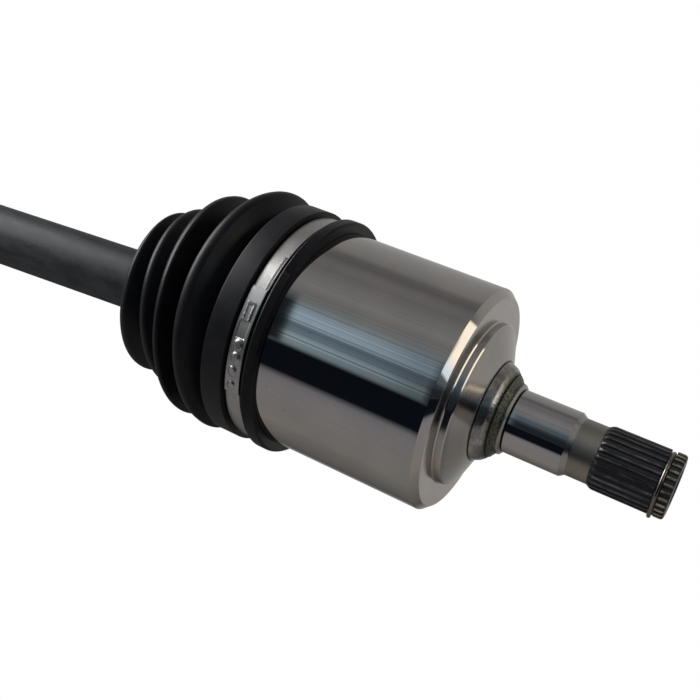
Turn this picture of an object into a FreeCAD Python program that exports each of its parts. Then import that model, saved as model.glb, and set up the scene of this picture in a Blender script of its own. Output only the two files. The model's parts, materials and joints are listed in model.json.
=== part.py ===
import FreeCAD, Part
import math
import os
import re

import Sketcher
from FreeCAD import Placement, Rotation, Vector

# Front-axle drive shaft: a solid bar, a plunging tripod joint at its inboard end (the one with the
# polished round housing) and a fixed ball joint at its outboard end, each under a bellows boot.
# Row frame: +X along the inner housing's axis towards its splines, +Z up, and the origin at the
# middle of the inboard journal. The bar leaves the tripod joint bent down towards -X.
# Inner pieces are measured from the tripod centre and outer pieces from the ball joint's centre,
# both with +x towards the inboard end.

SIZES = [
    # lay of the shaft
    ("bend_angle", 3.63, "bend between the bar and the inner housing, degrees"),
    ("joint_distance", 400.0, "tripod centre to ball joint centre"),
    ("slip_gap", 0.05, "radial gap of a seat inside one rigid group"),
    # inner housing
    ("housing_radius", 46.0, "outside of the round housing"),
    ("housing_depth", 46.0, "tripod centre to the housing's mouth"),
    ("end_face", 42.4, "tripod centre to the housing's end face"),
    ("end_wall", 4.9, "wall behind the tracks"),
    ("mouth_bevel", 1.0, "bevel of a housing's mouth"),
    ("end_chamfer_length", 2.8, "end chamfer along the axis"),
    ("end_chamfer_depth", 2.6, "end chamfer across the axis"),
    ("boss_radius", 33.4, "raised boss on the end face"),
    ("boss_height", 3.4, "height of the raised boss"),
    ("boss_draft", 0.5, "draft of the boss's side"),
    ("cone_radius", 20.6, "top of the boss's cone, where the forged neck starts"),
    ("cone_height", 4.6, "height of the boss's cone"),
    ("neck_length", 8.1, "forged neck"),
    ("neck_foot_length", 2.9, "neck's steep end beside the collar, along the axis"),
    ("neck_foot_height", 3.6, "neck's steep end beside the collar, across the axis"),
    ("collar_radius", 14.3, "small collar at the neck's end"),
    ("collar_length", 1.1, "width of the collar"),
    ("collar_slope", 1.8, "slope from the collar to the journal"),
    # inner housing's stub
    ("journal_radius", 12.75, "ground journal for the transmission's seal"),
    ("journal_length", 22.0, "length of the journal"),
    ("journal_chamfer", 2.0, "chamfer from the journal to the undercut"),
    ("undercut_radius", 11.4, "undercut between journal and spline"),
    ("undercut_length", 8.6, "length of the undercut"),
    ("spline_run_out", 2.5, "sloping start of the teeth"),
    ("spline_radius", 12.5, "outside of the teeth"),
    ("spline_root", 11.55, "root of the teeth"),
    ("spline_length", 26.5, "full height teeth"),
    ("spline_chamfer", 1.0, "chamfer at the stub's end"),
    ("spline_teeth", 28, "number of teeth"),
    ("gap_root_share", 0.36, "share of a tooth's pitch that is gap, at the root"),
    ("gap_tip_share", 0.62, "share of a tooth's pitch that is gap, at the tip"),
    ("cut_past", 0.5, "how far a cut runs past the surface"),
    ("circlip_setback", 5.6, "circlip's middle from the stub's end"),
    ("circlip_groove_radius", 10.9, "bottom of the circlip's groove"),
    ("circlip_radius", 12.7, "outside of the circlip, pressed in as far as the gear's bore allows"),
    ("circlip_width", 1.8, "width of the circlip"),
    ("ring_side_gap", 0.1, "gap on each side of a retaining ring"),
    # cavity and tracks
    ("bore_radius", 27.0, "middle bore between the tracks"),
    ("mouth_radius", 33.0, "mouth of the bore"),
    ("mouth_taper", 12.0, "length of the mouth's taper"),
    ("track_clearance", 0.15, "gap between a roller and its track"),
    ("track_floor_gap", 1.6, "gap over a roller's outer face"),
    ("track_foot_gap", 1.0, "gap under a roller's inner face"),
    # tripod
    ("trunnion_pitch", 26.0, "tripod centre to the middle of a trunnion's ball"),
    ("trunnion_ball", 9.6, "radius of a trunnion's ball"),
    ("trunnion_neck", 7.6, "radius of a trunnion's neck"),
    ("trunnion_tip", 6.5, "ball's middle to the flat tip"),
    ("hub_radius", 17.5, "spider's hub"),
    ("hub_half_length", 9.0, "half of the hub's length"),
    ("hub_chamfer", 1.5, "chamfer of the hub's ends"),
    # rollers
    ("ball_clearance", 0.15, "gap round a trunnion's ball"),
    ("roller_half_width", 6.0, "half of a roller's width"),
    ("roller_radius", 17.0, "crown of a roller"),
    ("crown_radius", 24.0, "radius of the roller's crown in section"),
    ("inner_ring_wall", 1.85, "wall of a roller's inner ring"),
    ("needle_radius", 1.2, "radius of a needle"),
    ("needle_gap", 0.03, "gap on each side of a needle"),
    ("needle_half_length", 4.7, "half of a needle's length"),
    ("needle_count", 33, "needles in one roller"),
    ("needle_flat_count", 8, "flats that a needle is drawn with"),
    ("lip_gap", 0.2, "gap between the roller's lip and the inner ring"),
    ("lip_end_gap", 0.2, "gap at a needle's end"),
    # bar
    ("bar_radius", 13.46, "main part of the bar"),
    ("bar_neck_radius", 12.2, "bar's necks beside the joints"),
    ("bar_end_radius", 11.9, "bar's ends inside the joints"),
    ("inner_neck_end", 60.0, "tripod centre to the end of the bar's inner neck"),
    ("outer_neck_end", 56.0, "ball joint centre to the end of the bar's outer neck"),
    ("neck_slope", 6.0, "slope from a neck to the main part"),
    ("bar_end_reach", 13.0, "tripod centre to the bar's inner end"),
    ("bar_end_lip", 2.0, "bar's outer end past its retaining ring"),
    ("end_bevel", 1.0, "bevel of the bar's ends"),
    ("ring_width", 1.5, "width of the retaining rings on the bar"),
    ("ring_radius", 13.4, "outside of the retaining rings on the bar"),
    ("ring_groove_radius", 10.8, "bottom of the rings' grooves on the bar"),
    ("ring_opening", 30.0, "open angle of a retaining ring, degrees"),
    # ball joint
    ("bell_radius", 45.0, "outside of the bell"),
    ("bell_mouth", 20.0, "joint centre to the bell's mouth"),
    ("bell_straight", 16.0, "joint centre to the end of the bell's straight outside"),
    ("bell_waist_station", 30.0, "joint centre to the bell's waist"),
    ("bell_waist_radius", 39.5, "bell's waist"),
    ("shoulder_station", 38.0, "joint centre to the shoulder that meets the wheel bearing"),
    ("shoulder_radius", 27.0, "outside of the shoulder"),
    ("bell_floor", 29.0, "joint centre to the floor of the bell's bore"),
    ("bell_sphere", 33.5, "spherical bore of the bell"),
    ("bell_rim_station", 14.0, "joint centre to where the mouth's cone starts"),
    ("bell_rim_radius", 38.0, "mouth's cone at the mouth"),
    ("cage_gap", 0.15, "gap between the spherical faces"),
    ("cage_wall", 5.8, "wall of the cage"),
    ("cage_half_width", 13.0, "half of the cage's width"),
    ("window_gap", 0.05, "gap on each side of a ball in its window"),
    ("window_half_length", 10.6, "half of a window along the cage's belt"),
    ("joint_ball_radius", 9.5, "radius of a ball"),
    ("ball_pitch", 30.0, "joint centre to a ball's middle"),
    ("ball_track_gap", 0.9, "gap between a ball and its tracks"),
    ("ball_count", 6, "number of balls"),
    ("bell_track_angle", 90.0, "sweep of the bell's tracks, degrees"),
    ("race_track_angle", 120.0, "sweep of the inner race's tracks, degrees"),
    ("race_half_width", 13.0, "half of the inner race's width"),
    # outer stub
    ("pilot_radius", 15.0, "pilot behind the shoulder"),
    ("pilot_length", 7.0, "length of the pilot"),
    ("hub_spline_radius", 13.8, "outside of the wheel hub's spline"),
    ("hub_spline_root", 12.75, "root of the wheel hub's spline"),
    ("hub_spline_length", 42.0, "length of the wheel hub's spline"),
    ("hub_spline_teeth", 27, "number of its teeth"),
    ("stub_chamfer", 1.5, "chamfers of the outer stub"),
    ("thread_relief_radius", 10.4, "relief behind the thread"),
    ("thread_relief_length", 4.0, "length of the relief"),
    ("thread_radius", 11.0, "outside of the axle nut's thread"),
    ("thread_length", 20.0, "length of the thread"),
    # boots
    ("boot_gap", 0.1, "gap between a boot and what it is clamped on"),
    ("boot_wall", 3.2, "wall of the folds"),
    ("crown_flat", 1.3, "half of a fold's flat crown"),
    ("valley_lap", 1.5, "length of the flat valley beside the collar"),
    ("flank_lap", 0.25, "share of a flank that runs on through the next fold's wall"),
    ("seat_wall", 1.45, "wall of a boot under its large clamp"),
    ("boot_grip", 19.7, "cuff of the inner boot on the housing, from the mouth"),
    ("lip_height", 2.85, "lip of the inner boot over its clamp seat"),
    ("lip_bevel", 1.0, "bevel of the lip"),
    ("lip_width", 4.7, "width of the lip"),
    ("seat_slope", 1.4, "slopes beside the clamp seat"),
    ("seat_width", 8.6, "width of the clamp seat"),
    ("collar_height", 2.75, "collar of the inner boot over its clamp seat"),
    ("collar_overhang", 4.7, "housing's mouth to the edge of the inner boot's collar"),
    ("valley_four_drop", 1.05, "valley beside the collar, under the clamp seat"),
    ("valley_four_station", 8.0, "housing's mouth to the valley beside the collar"),
    ("crown_four_rise", 4.95, "crown of the largest fold over the clamp seat"),
    ("crown_four_station", 15.6, "housing's mouth to the largest fold's crown"),
    ("valley_three_radius", 40.5, "valley between the fourth and the third fold"),
    ("valley_three_station", 25.5, "housing's mouth to that valley"),
    ("crown_three_radius", 46.6, "crown of the third fold"),
    ("crown_three_station", 31.4, "housing's mouth to the third fold's crown"),
    ("valley_two_radius", 35.0, "valley between the third and the second fold"),
    ("valley_two_station", 39.5, "housing's mouth to that valley"),
    ("crown_two_radius", 38.8, "crown of the second fold"),
    ("crown_two_station", 43.6, "housing's mouth to the second fold's crown"),
    ("valley_one_radius", 31.0, "valley between the second and the first fold"),
    ("valley_one_station", 49.5, "housing's mouth to that valley"),
    ("crown_one_radius", 35.4, "crown of the first fold, beside the small end"),
    ("crown_one_station", 54.5, "housing's mouth to the first fold's crown"),
    ("foot_radius", 24.0, "foot of the first fold on the small end"),
    ("foot_station", 59.0, "housing's mouth to that foot"),
    ("sleeve_wall", 3.6, "wall of a boot's small end"),
    ("inner_sleeve_start", 58.5, "housing's mouth to the inner boot's small end"),
    ("inner_sleeve_end", 68.0, "housing's mouth to the end of the inner boot"),
    ("outer_edge", 2.0, "outer boot's edge, outboard of the joint centre"),
    ("outer_lip_width", 2.0, "width of the outer boot's lip"),
    ("outer_lip_height", 1.5, "outer boot's lip over its clamp seat"),
    ("outer_slope", 1.0, "slopes beside the outer boot's clamp seat"),
    ("seat_margin", 0.75, "seat left free on each side of the outer boot's clamp"),
    ("outer_collar_height", 2.0, "outer boot's collar over its clamp seat"),
    ("outer_fold_start", 4.0, "bell's mouth to the outer boot's first valley"),
    ("outer_valley_drop", 2.0, "outer boot's first valley under the clamp seat"),
    ("outer_crown_rise", 3.4, "rise of the outer boot's crowns over the cone of its valleys"),
    ("outer_last_height", 4.0, "height that the last fold keeps over the small end"),
    ("sleeve_step", 3.0, "last fold's foot over the small end"),
    ("sleeve_taper", 2.0, "length of that foot"),
    ("outer_sleeve_start", 84.0, "ball joint centre to the outer boot's small end"),
    ("outer_sleeve_end", 97.0, "ball joint centre to the end of the outer boot"),
    # clamps
    ("band_width", 6.7, "width of a large clamp"),
    ("band_thickness", 0.7, "thickness of a clamp's band"),
    ("small_band_width", 5.5, "width of a small clamp"),
    ("clamp_gap", 0.05, "gap between a clamp and its boot"),
    ("hook_height", 0.9, "height of a clamp's hooks over its band"),
    ("lap_angle", 64.0, "angle of the band's lapped end, degrees"),
    ("hook_angle", 4.0, "angle of one hook, degrees"),
    ("hook_spread", 24.0, "angle from the first hook to the last, degrees"),
    ("hook_count", 4, "number of hooks"),
    ("clamp_turn", 78.0, "turn of the inner large clamp's lock from the top, degrees"),
]

doc = FreeCAD.newDocument("drive_shaft")
sheet = doc.addObject("Spreadsheet::Sheet", "size")
for row, (alias, value, meaning) in enumerate(SIZES, start=1):
    sheet.set("A%d" % row, alias)
    sheet.set("B%d" % row, str(value))
    sheet.setAlias("B%d" % row, alias)
    sheet.set("C%d" % row, meaning)
doc.recompute()
ALIASES = {alias for alias, value, meaning in SIZES}


def bound(text):
    """An expression with each size written as a reference to the sheet."""
    return re.sub(r"[a-z_]+", lambda word: "size." + word[0] if word[0] in ALIASES else word[0], text)


def number(text):
    """The present value of an expression."""
    return float(sheet_reader.evalExpression(bound(text)))


sheet_reader = doc.addObject("App::FeaturePython", "reader")

# Stations on the inner housing, from the tripod centre
TRACK_END = "(end_face - end_wall)"
BOSS_TOP = "(end_face + boss_height)"
NECK_START = "(%s + cone_height)" % BOSS_TOP
COLLAR_START = "(%s + neck_length)" % NECK_START
COLLAR_END = "(%s + collar_length)" % COLLAR_START
JOURNAL_START = "(%s + collar_slope)" % COLLAR_END
JOURNAL_END = "(%s + journal_length)" % JOURNAL_START
UNDERCUT_START = "(%s + journal_chamfer)" % JOURNAL_END
UNDERCUT_END = "(%s + undercut_length)" % UNDERCUT_START
SPLINE_START = "(%s + spline_run_out)" % UNDERCUT_END
SPLINE_END = "(%s + spline_length)" % SPLINE_START
STUB_END = "(%s + spline_chamfer)" % SPLINE_END
CIRCLIP_MIDDLE = "(%s - circlip_setback)" % STUB_END
TRIPOD_X = "-(%s + journal_length / 2)" % JOURNAL_START

# Stations on the outer stub, from the ball joint's centre
PILOT_END = "(shoulder_station + pilot_length)"
HUB_SPLINE_END = "(%s + hub_spline_length)" % PILOT_END
THREAD_START = "(%s + thread_relief_length)" % HUB_SPLINE_END
THREAD_END = "(%s + thread_length)" % THREAD_START

# Radii that several pieces share
INNER_RING_BORE = "(trunnion_ball + ball_clearance)"
INNER_RING_RADIUS = "(%s + inner_ring_wall)" % INNER_RING_BORE
NEEDLE_PITCH = "(%s + needle_gap + needle_radius)" % INNER_RING_RADIUS
ROLLER_BORE = "(%s + needle_radius + needle_gap)" % NEEDLE_PITCH
CAGE_OUTSIDE = "(bell_sphere - cage_gap)"
CAGE_INSIDE = "(%s - cage_wall)" % CAGE_OUTSIDE
RACE_SPHERE = "(%s - cage_gap)" % CAGE_INSIDE
TRACK_TUBE = "(joint_ball_radius + ball_track_gap)"
BAR_BORE = "(bar_end_radius + slip_gap)"
INNER_SEAT = "(housing_radius + boot_gap + seat_wall)"
OUTER_SEAT = "(bell_radius + boot_gap + seat_wall)"
SLEEVE_RADIUS = "(bar_radius + boot_gap + sleeve_wall)"

# Stations on the boots, the inner one's from the tripod centre towards the bar
LIP_END = "(housing_depth - boot_grip)"
SEAT_START = "(-%s - lip_width - seat_slope)" % LIP_END
SLEEVE_START = "(housing_depth + inner_sleeve_start)"
SLEEVE_END = "(housing_depth + inner_sleeve_end)"
OUTER_SEAT_START = "(outer_lip_width + outer_slope - outer_edge)"
OUTER_SEAT_END = "(%s + band_width + 2 * seat_margin)" % OUTER_SEAT_START
CLAMP_SEAT_MIDDLE = "(%s - seat_width / 2)" % SEAT_START
SLEEVE_MIDDLE = "-(%s + %s + valley_lap) / 2" % (SLEEVE_START, SLEEVE_END)

# The valleys (station, radius) that bound the inner boot's folds, from the collar to the small end
VALLEYS = [
    ("(housing_depth + valley_four_station)", "(%s - valley_four_drop)" % INNER_SEAT),
    ("(housing_depth + valley_three_station)", "valley_three_radius"),
    ("(housing_depth + valley_two_station)", "valley_two_radius"),
    ("(housing_depth + valley_one_station)", "valley_one_radius"),
    ("(housing_depth + foot_station)", "foot_radius"),
]

# The folds between them: name, middle, crown radius and share of the bend
FOLDS = [
    ("fold_four", "(housing_depth + crown_four_station)", "(%s + crown_four_rise)" % INNER_SEAT, "0"),
    ("fold_three", "(housing_depth + crown_three_station)", "crown_three_radius", "0.15"),
    ("fold_two", "(housing_depth + crown_two_station)", "crown_two_radius", "0.6"),
    ("fold_one", "(housing_depth + crown_one_station)", "crown_one_radius", "1"),
]

# Tracks and trunnions stand round the tripod in three equal steps
THIRDS = "3"


def root_of(difference):
    return "sqrt(%s)" % difference


def origin_feature(body, role):
    return next(item for item in body.Origin.OriginFeatures if item.Role == role)


def new_body(label):
    body = doc.addObject("PartDesign::Body", label)
    body.Label = label
    return body


def arc_between(start, end, radius, side):
    """The short arc from start to end, with its centre to the left (1) or right (-1) of the way."""
    middle = (start + end) * 0.5
    chord = end - start
    left = Vector(-chord.y, chord.x, 0).normalize()
    centre = middle + left * (side * math.sqrt(radius ** 2 - (chord.Length / 2) ** 2))
    first = math.atan2(start.y - centre.y, start.x - centre.x)
    last = math.atan2(end.y - centre.y, end.x - centre.x)
    circle = Part.Circle(centre, Vector(0, 0, 1), radius)
    return Part.ArcOfCircle(circle, first, last) if side > 0 else Part.ArcOfCircle(circle, last, first)


def place_point(sketch, edge, end, x_text, y_text):
    """Ties one end of an edge to its two coordinates."""
    for text, axis, kind in ((x_text, -2, "DistanceX"), (y_text, -1, "DistanceY")):
        if text == "0":
            sketch.addConstraint(Sketcher.Constraint("PointOnObject", edge, end, axis))
            continue
        index = sketch.addConstraint(Sketcher.Constraint(kind, -1, 1, edge, end, number(text)))
        sketch.setExpression("Constraints[%d]" % index, bound(text))


def outline(body, name, role, points, arcs=None, offset="0", turn=None):
    """A closed sketch through points given as expressions. arcs maps an edge to (radius, side)."""
    arcs = arcs or {}
    sketch = body.newObject("Sketcher::SketchObject", name)
    sketch.AttachmentSupport = (origin_feature(body, role), [""])
    sketch.MapMode = "FlatFace"
    if offset != "0":
        sketch.AttachmentOffset = Placement(Vector(0, 0, number(offset)), Rotation())
        sketch.setExpression("AttachmentOffset.Base.z", bound(offset))
    if turn:
        sketch.AttachmentOffset = Placement(Vector(), Rotation(Vector(0, 0, 1), 1))
        sketch.setExpression("AttachmentOffset.Rotation.Angle", bound(turn))
    corners = [Vector(number(x), number(y), 0) for x, y in points]
    ends = []
    for edge, corner in enumerate(corners):
        following = corners[(edge + 1) % len(corners)]
        if edge in arcs:
            radius, side = arcs[edge]
            sketch.addGeometry(arc_between(corner, following, number(radius), side), False)
            ends.append((1, 2) if side > 0 else (2, 1))
        else:
            sketch.addGeometry(Part.LineSegment(corner, following), False)
            ends.append((1, 2))
    for edge, (first, last) in enumerate(ends):
        following = (edge + 1) % len(ends)
        sketch.addConstraint(
            Sketcher.Constraint("Coincident", edge, last, following, ends[following][0])
        )
    for edge, (x_text, y_text) in enumerate(points):
        place_point(sketch, edge, ends[edge][0], x_text, y_text)
    for edge, (radius, side) in arcs.items():
        index = sketch.addConstraint(Sketcher.Constraint("Radius", edge, number(radius)))
        sketch.setExpression("Constraints[%d]" % index, bound(radius))
    return sketch


def turned(body, name, points, arcs=None, cut=False, angle=None, role="XY_Plane", axis="H_Axis",
           turn=None, midplane=False):
    """A revolved feature: a Revolution, or a Groove where cut is set."""
    sketch = outline(body, name + "_outline", role, points, arcs, turn=turn)
    feature = body.newObject("PartDesign::Groove" if cut else "PartDesign::Revolution", name)
    feature.Profile = sketch
    feature.ReferenceAxis = (sketch, [axis])
    feature.Midplane = midplane
    feature.Angle = number(angle) if angle else 360
    if angle:
        feature.setExpression("Angle", bound(angle))
    return feature


def pocket(body, name, sketch, length, reverse):
    feature = body.newObject("PartDesign::Pocket", name)
    feature.Profile = sketch
    feature.Length = number(length)
    feature.setExpression("Length", bound(length))
    feature.Reversed = reverse
    return feature


def around_axis(body, name, feature, count, role="X_Axis", angle=None):
    """The feature repeated round the body's axis."""
    pattern = body.newObject("PartDesign::PolarPattern", name)
    pattern.Originals = [feature]
    pattern.Axis = (origin_feature(body, role), [""])
    pattern.Angle = number(angle) if angle else 360
    pattern.Occurrences = int(number(count))
    pattern.setExpression("Occurrences", bound(count))
    if angle:
        pattern.setExpression("Angle", bound(angle))
    body.Tip = pattern
    return pattern


def on_housing(item, turn=None):
    """Places a piece on the inner housing's axis."""
    item.Placement = Placement(Vector(), Rotation(Vector(1, 0, 0), 1 if turn else 0))
    item.setExpression("Placement.Base.x", bound(TRIPOD_X))
    if turn:
        item.setExpression("Placement.Rotation.Angle", bound(turn))


def on_bar(item):
    """Places a piece on the bar's axis, measured from the tripod centre."""
    item.Placement = Placement(Vector(), Rotation(Vector(0, -1, 0), 1))
    item.setExpression("Placement.Base.x", bound(TRIPOD_X))
    item.setExpression("Placement.Rotation.Angle", bound("bend_angle"))


def on_ball_joint(item):
    """Places a piece on the bar's axis, measured from the ball joint's centre."""
    on_bar(item)
    item.setExpression("Placement.Base.x", bound(TRIPOD_X + " - joint_distance * cos(bend_angle)"))
    item.setExpression("Placement.Base.z", bound("-joint_distance * sin(bend_angle)"))


def spline_teeth(body, name, root, tip, start, length, reverse, teeth):
    """Cuts the gaps between spline teeth, from the stub's end towards its undercut."""
    gap_root = "(pi * %s / %s * gap_root_share)" % (root, teeth)
    gap_tip = "(pi * %s / %s * gap_tip_share)" % (tip, teeth)
    beyond = "(%s + cut_past)" % tip
    points = [
        ("-" + gap_root, root),
        (gap_root, root),
        (gap_tip, beyond),
        ("-" + gap_tip, beyond),
    ]
    gap = outline(body, name + "_gap", "YZ_Plane", points, offset=start)
    first = pocket(body, name + "_first", gap, length, reverse)
    around_axis(body, name, first, teeth)


def inner_joint_housing():
    body = new_body("inner_joint_housing")
    points = [
        ("-housing_depth", "0"),
        ("-housing_depth", "housing_radius - mouth_bevel"),
        ("mouth_bevel - housing_depth", "housing_radius"),
        ("end_face - end_chamfer_length", "housing_radius"),
        ("end_face", "housing_radius - end_chamfer_depth"),
        ("end_face", "boss_radius"),
        (BOSS_TOP, "boss_radius - boss_draft"),
        (NECK_START, "cone_radius"),
        (COLLAR_START + " - neck_foot_length", "collar_radius + neck_foot_height"),
        (COLLAR_START, "collar_radius"),
        (COLLAR_END, "collar_radius"),
        (JOURNAL_START, "journal_radius"),
        (JOURNAL_END, "journal_radius"),
        (UNDERCUT_START, "undercut_radius"),
        (UNDERCUT_END, "undercut_radius"),
        (SPLINE_START, "spline_radius"),
        (SPLINE_END, "spline_radius"),
        (STUB_END, "spline_radius - spline_chamfer"),
        (STUB_END, "0"),
    ]
    turned(body, "housing_outside", points)
    groove_low = CIRCLIP_MIDDLE + " - circlip_width / 2 - ring_side_gap"
    groove_high = CIRCLIP_MIDDLE + " + circlip_width / 2 + ring_side_gap"
    points = [
        (groove_low, "circlip_groove_radius"),
        (groove_high, "circlip_groove_radius"),
        (groove_high, "spline_radius + cut_past"),
        (groove_low, "spline_radius + cut_past"),
    ]
    turned(body, "circlip_groove", points, cut=True)
    length = STUB_END + " - " + UNDERCUT_END + " + cut_past"
    spline_teeth(body, "spline", "spline_root", "spline_radius", STUB_END, length, False, "spline_teeth")
    points = [
        ("-housing_depth", "0"),
        ("-housing_depth", "mouth_radius"),
        ("mouth_taper - housing_depth", "bore_radius"),
        (TRACK_END, "bore_radius"),
        (TRACK_END, "0"),
    ]
    turned(body, "housing_bore", points, cut=True)
    crown_centre = "(roller_radius - crown_radius)"
    crown_track = "(crown_radius + track_clearance)"
    foot = "(roller_half_width + track_foot_gap)"
    head = "(roller_half_width + track_floor_gap)"
    foot_y = "(%s + %s)" % (crown_centre, root_of("%s ^ 2 - %s ^ 2" % (crown_track, foot)))
    head_y = "(%s + %s)" % (crown_centre, root_of("%s ^ 2 - %s ^ 2" % (crown_track, head)))
    points = [
        ("-" + foot_y, "bore_radius / 3"),
        (foot_y, "bore_radius / 3"),
        (foot_y, "trunnion_pitch - " + foot),
        (head_y, "trunnion_pitch + " + head),
        ("-" + head_y, "trunnion_pitch + " + head),
        ("-" + foot_y, "trunnion_pitch - " + foot),
    ]
    arcs = {2: (crown_track, 1), 4: (crown_track, 1)}
    slot = outline(body, "track_outline", "YZ_Plane", points, arcs, offset="-housing_depth")
    track = pocket(body, "track", slot, TRACK_END + " + housing_depth", True)
    around_axis(body, "tracks", track, THIRDS)
    on_housing(body)
    return body


def retaining_ring(label, middle, width, groove_radius, outside, place):
    """An open ring of rectangular wire, sprung into a groove."""
    body = new_body(label)
    inside = groove_radius + " + slip_gap"
    points = [
        (middle + " - " + width + " / 2", inside),
        (middle + " + " + width + " / 2", inside),
        (middle + " + " + width + " / 2", outside),
        (middle + " - " + width + " / 2", outside),
    ]
    turned(body, label + "_wire", points, angle="360 - ring_opening")
    place(body)
    return body


def tripod_spider():
    body = new_body("tripod_spider")
    points = [
        ("-hub_half_length", BAR_BORE),
        ("hub_half_length", BAR_BORE),
        ("hub_half_length", "hub_radius - hub_chamfer"),
        ("hub_half_length - hub_chamfer", "hub_radius"),
        ("hub_chamfer - hub_half_length", "hub_radius"),
        ("-hub_half_length", "hub_radius - hub_chamfer"),
    ]
    turned(body, "hub", points)
    neck_top = "trunnion_pitch - sqrt(trunnion_ball ^ 2 - trunnion_neck ^ 2)"
    tip_radius = "sqrt(trunnion_ball ^ 2 - trunnion_tip ^ 2)"
    points = [
        ("0", "(%s + hub_radius) / 2" % BAR_BORE),
        ("trunnion_neck", "(%s + hub_radius) / 2" % BAR_BORE),
        ("trunnion_neck", neck_top),
        (tip_radius, "trunnion_pitch + trunnion_tip"),
        ("0", "trunnion_pitch + trunnion_tip"),
    ]
    arcs = {2: ("trunnion_ball", 1)}
    trunnion = turned(body, "trunnion", points, arcs, role="XZ_Plane", axis="V_Axis")
    around_axis(body, "trunnions", trunnion, THIRDS)
    on_bar(body)
    return body


# Each roller unit: its name's ending, its direction round the housing and its shift along the axis,
# which keeps the rings over the trunnion balls of the bent shaft
ROLLER_PLACES = [
    ("upper", 0, "-trunnion_pitch * sin(bend_angle)"),
    ("front", 120, "trunnion_pitch / 2 * sin(bend_angle)"),
    ("rear", 240, "trunnion_pitch / 2 * sin(bend_angle)"),
]


def on_roller(item, direction, shift):
    """Stands a piece, made round X, on one of the three trunnion directions."""
    upright = Rotation(Vector(0, 1, 0), -90)
    item.Placement = Placement(Vector(), Rotation(Vector(1, 0, 0), direction) * upright)
    item.setExpression("Placement.Base.x", bound(TRIPOD_X + " + " + shift))
    item.setExpression("Placement.Base.y", bound("-trunnion_pitch * sin(%d)" % direction))
    item.setExpression("Placement.Base.z", bound("trunnion_pitch * cos(%d)" % direction))


def roller_inner_ring(place, direction, shift):
    body = new_body("roller_inner_ring_" + place)
    points = [
        ("-roller_half_width", INNER_RING_BORE),
        ("roller_half_width", INNER_RING_BORE),
        ("roller_half_width", INNER_RING_RADIUS),
        ("-roller_half_width", INNER_RING_RADIUS),
    ]
    turned(body, "inner_ring_" + place, points)
    on_roller(body, direction, shift)
    return body


def roller_outer_ring(place, direction, shift):
    body = new_body("roller_outer_ring_" + place)
    recess = "(needle_half_length + lip_end_gap)"
    edge = "roller_radius - crown_radius + sqrt(crown_radius ^ 2 - roller_half_width ^ 2)"
    lip = INNER_RING_RADIUS + " + lip_gap"
    points = [
        ("-roller_half_width", lip),
        ("-" + recess, lip),
        ("-" + recess, ROLLER_BORE),
        (recess, ROLLER_BORE),
        (recess, lip),
        ("roller_half_width", lip),
        ("roller_half_width", edge),
        ("-roller_half_width", edge),
    ]
    turned(body, "outer_ring_" + place, points, {6: ("crown_radius", 1)})
    on_roller(body, direction, shift)
    return body


def needle_set(place, direction, shift):
    """Needles side by side round the inner ring, drawn with flats."""
    needles = []
    count = int(number("needle_count"))
    flats = int(number("needle_flat_count"))
    for index in range(count):
        needle = doc.addObject("Part::Prism", "needle_%s_%d" % (place, index))
        needle.Polygon = flats
        needle.setExpression("Circumradius", bound("needle_radius"))
        needle.setExpression("Height", bound("2 * needle_half_length"))
        turn = "%d * 360 / needle_count" % index
        needle.Placement = Placement(Vector(), Rotation(Vector(0, 1, 0), 90))
        needle.setExpression("Placement.Base.x", bound("-needle_half_length"))
        needle.setExpression("Placement.Base.y", bound("%s * cos(%s)" % (NEEDLE_PITCH, turn)))
        needle.setExpression("Placement.Base.z", bound("%s * sin(%s)" % (NEEDLE_PITCH, turn)))
        needles.append(needle)
    group = doc.addObject("Part::Compound", "needle_set_" + place)
    group.Links = needles
    group.Label = "needle_set_" + place
    on_roller(group, direction, shift)
    return group


def axle_bar():
    body = new_body("axle_bar")
    outer_end = "-(joint_distance + race_half_width + ring_width + 2 * ring_side_gap + bar_end_lip)"
    points = [
        (outer_end, "0"),
        (outer_end, "bar_end_radius - end_bevel"),
        (outer_end + " + end_bevel", "bar_end_radius"),
        ("race_half_width + slip_gap - joint_distance", "bar_end_radius"),
        ("race_half_width + slip_gap - joint_distance", "bar_neck_radius"),
        ("outer_neck_end - joint_distance", "bar_neck_radius"),
        ("outer_neck_end + neck_slope - joint_distance", "bar_radius"),
        ("-inner_neck_end - neck_slope", "bar_radius"),
        ("-inner_neck_end", "bar_neck_radius"),
        ("-hub_half_length - slip_gap", "bar_neck_radius"),
        ("-hub_half_length - slip_gap", "bar_end_radius"),
        ("bar_end_reach - end_bevel", "bar_end_radius"),
        ("bar_end_reach", "bar_end_radius - end_bevel"),
        ("bar_end_reach", "0"),
    ]
    turned(body, "bar", points)
    inner_face = "(hub_half_length + slip_gap)"
    outer_face = "(joint_distance + race_half_width + slip_gap)"
    for name, low, high in (
        ("inner_ring_groove", inner_face, inner_face + " + ring_width + 2 * ring_side_gap"),
        ("outer_ring_groove", "-%s - ring_width - 2 * ring_side_gap" % outer_face, "-" + outer_face),
    ):
        points = [
            (low, "ring_groove_radius"),
            (high, "ring_groove_radius"),
            (high, "bar_end_radius + cut_past"),
            (low, "bar_end_radius + cut_past"),
        ]
        turned(body, name, points, cut=True)
    on_bar(body)
    return body


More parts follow.
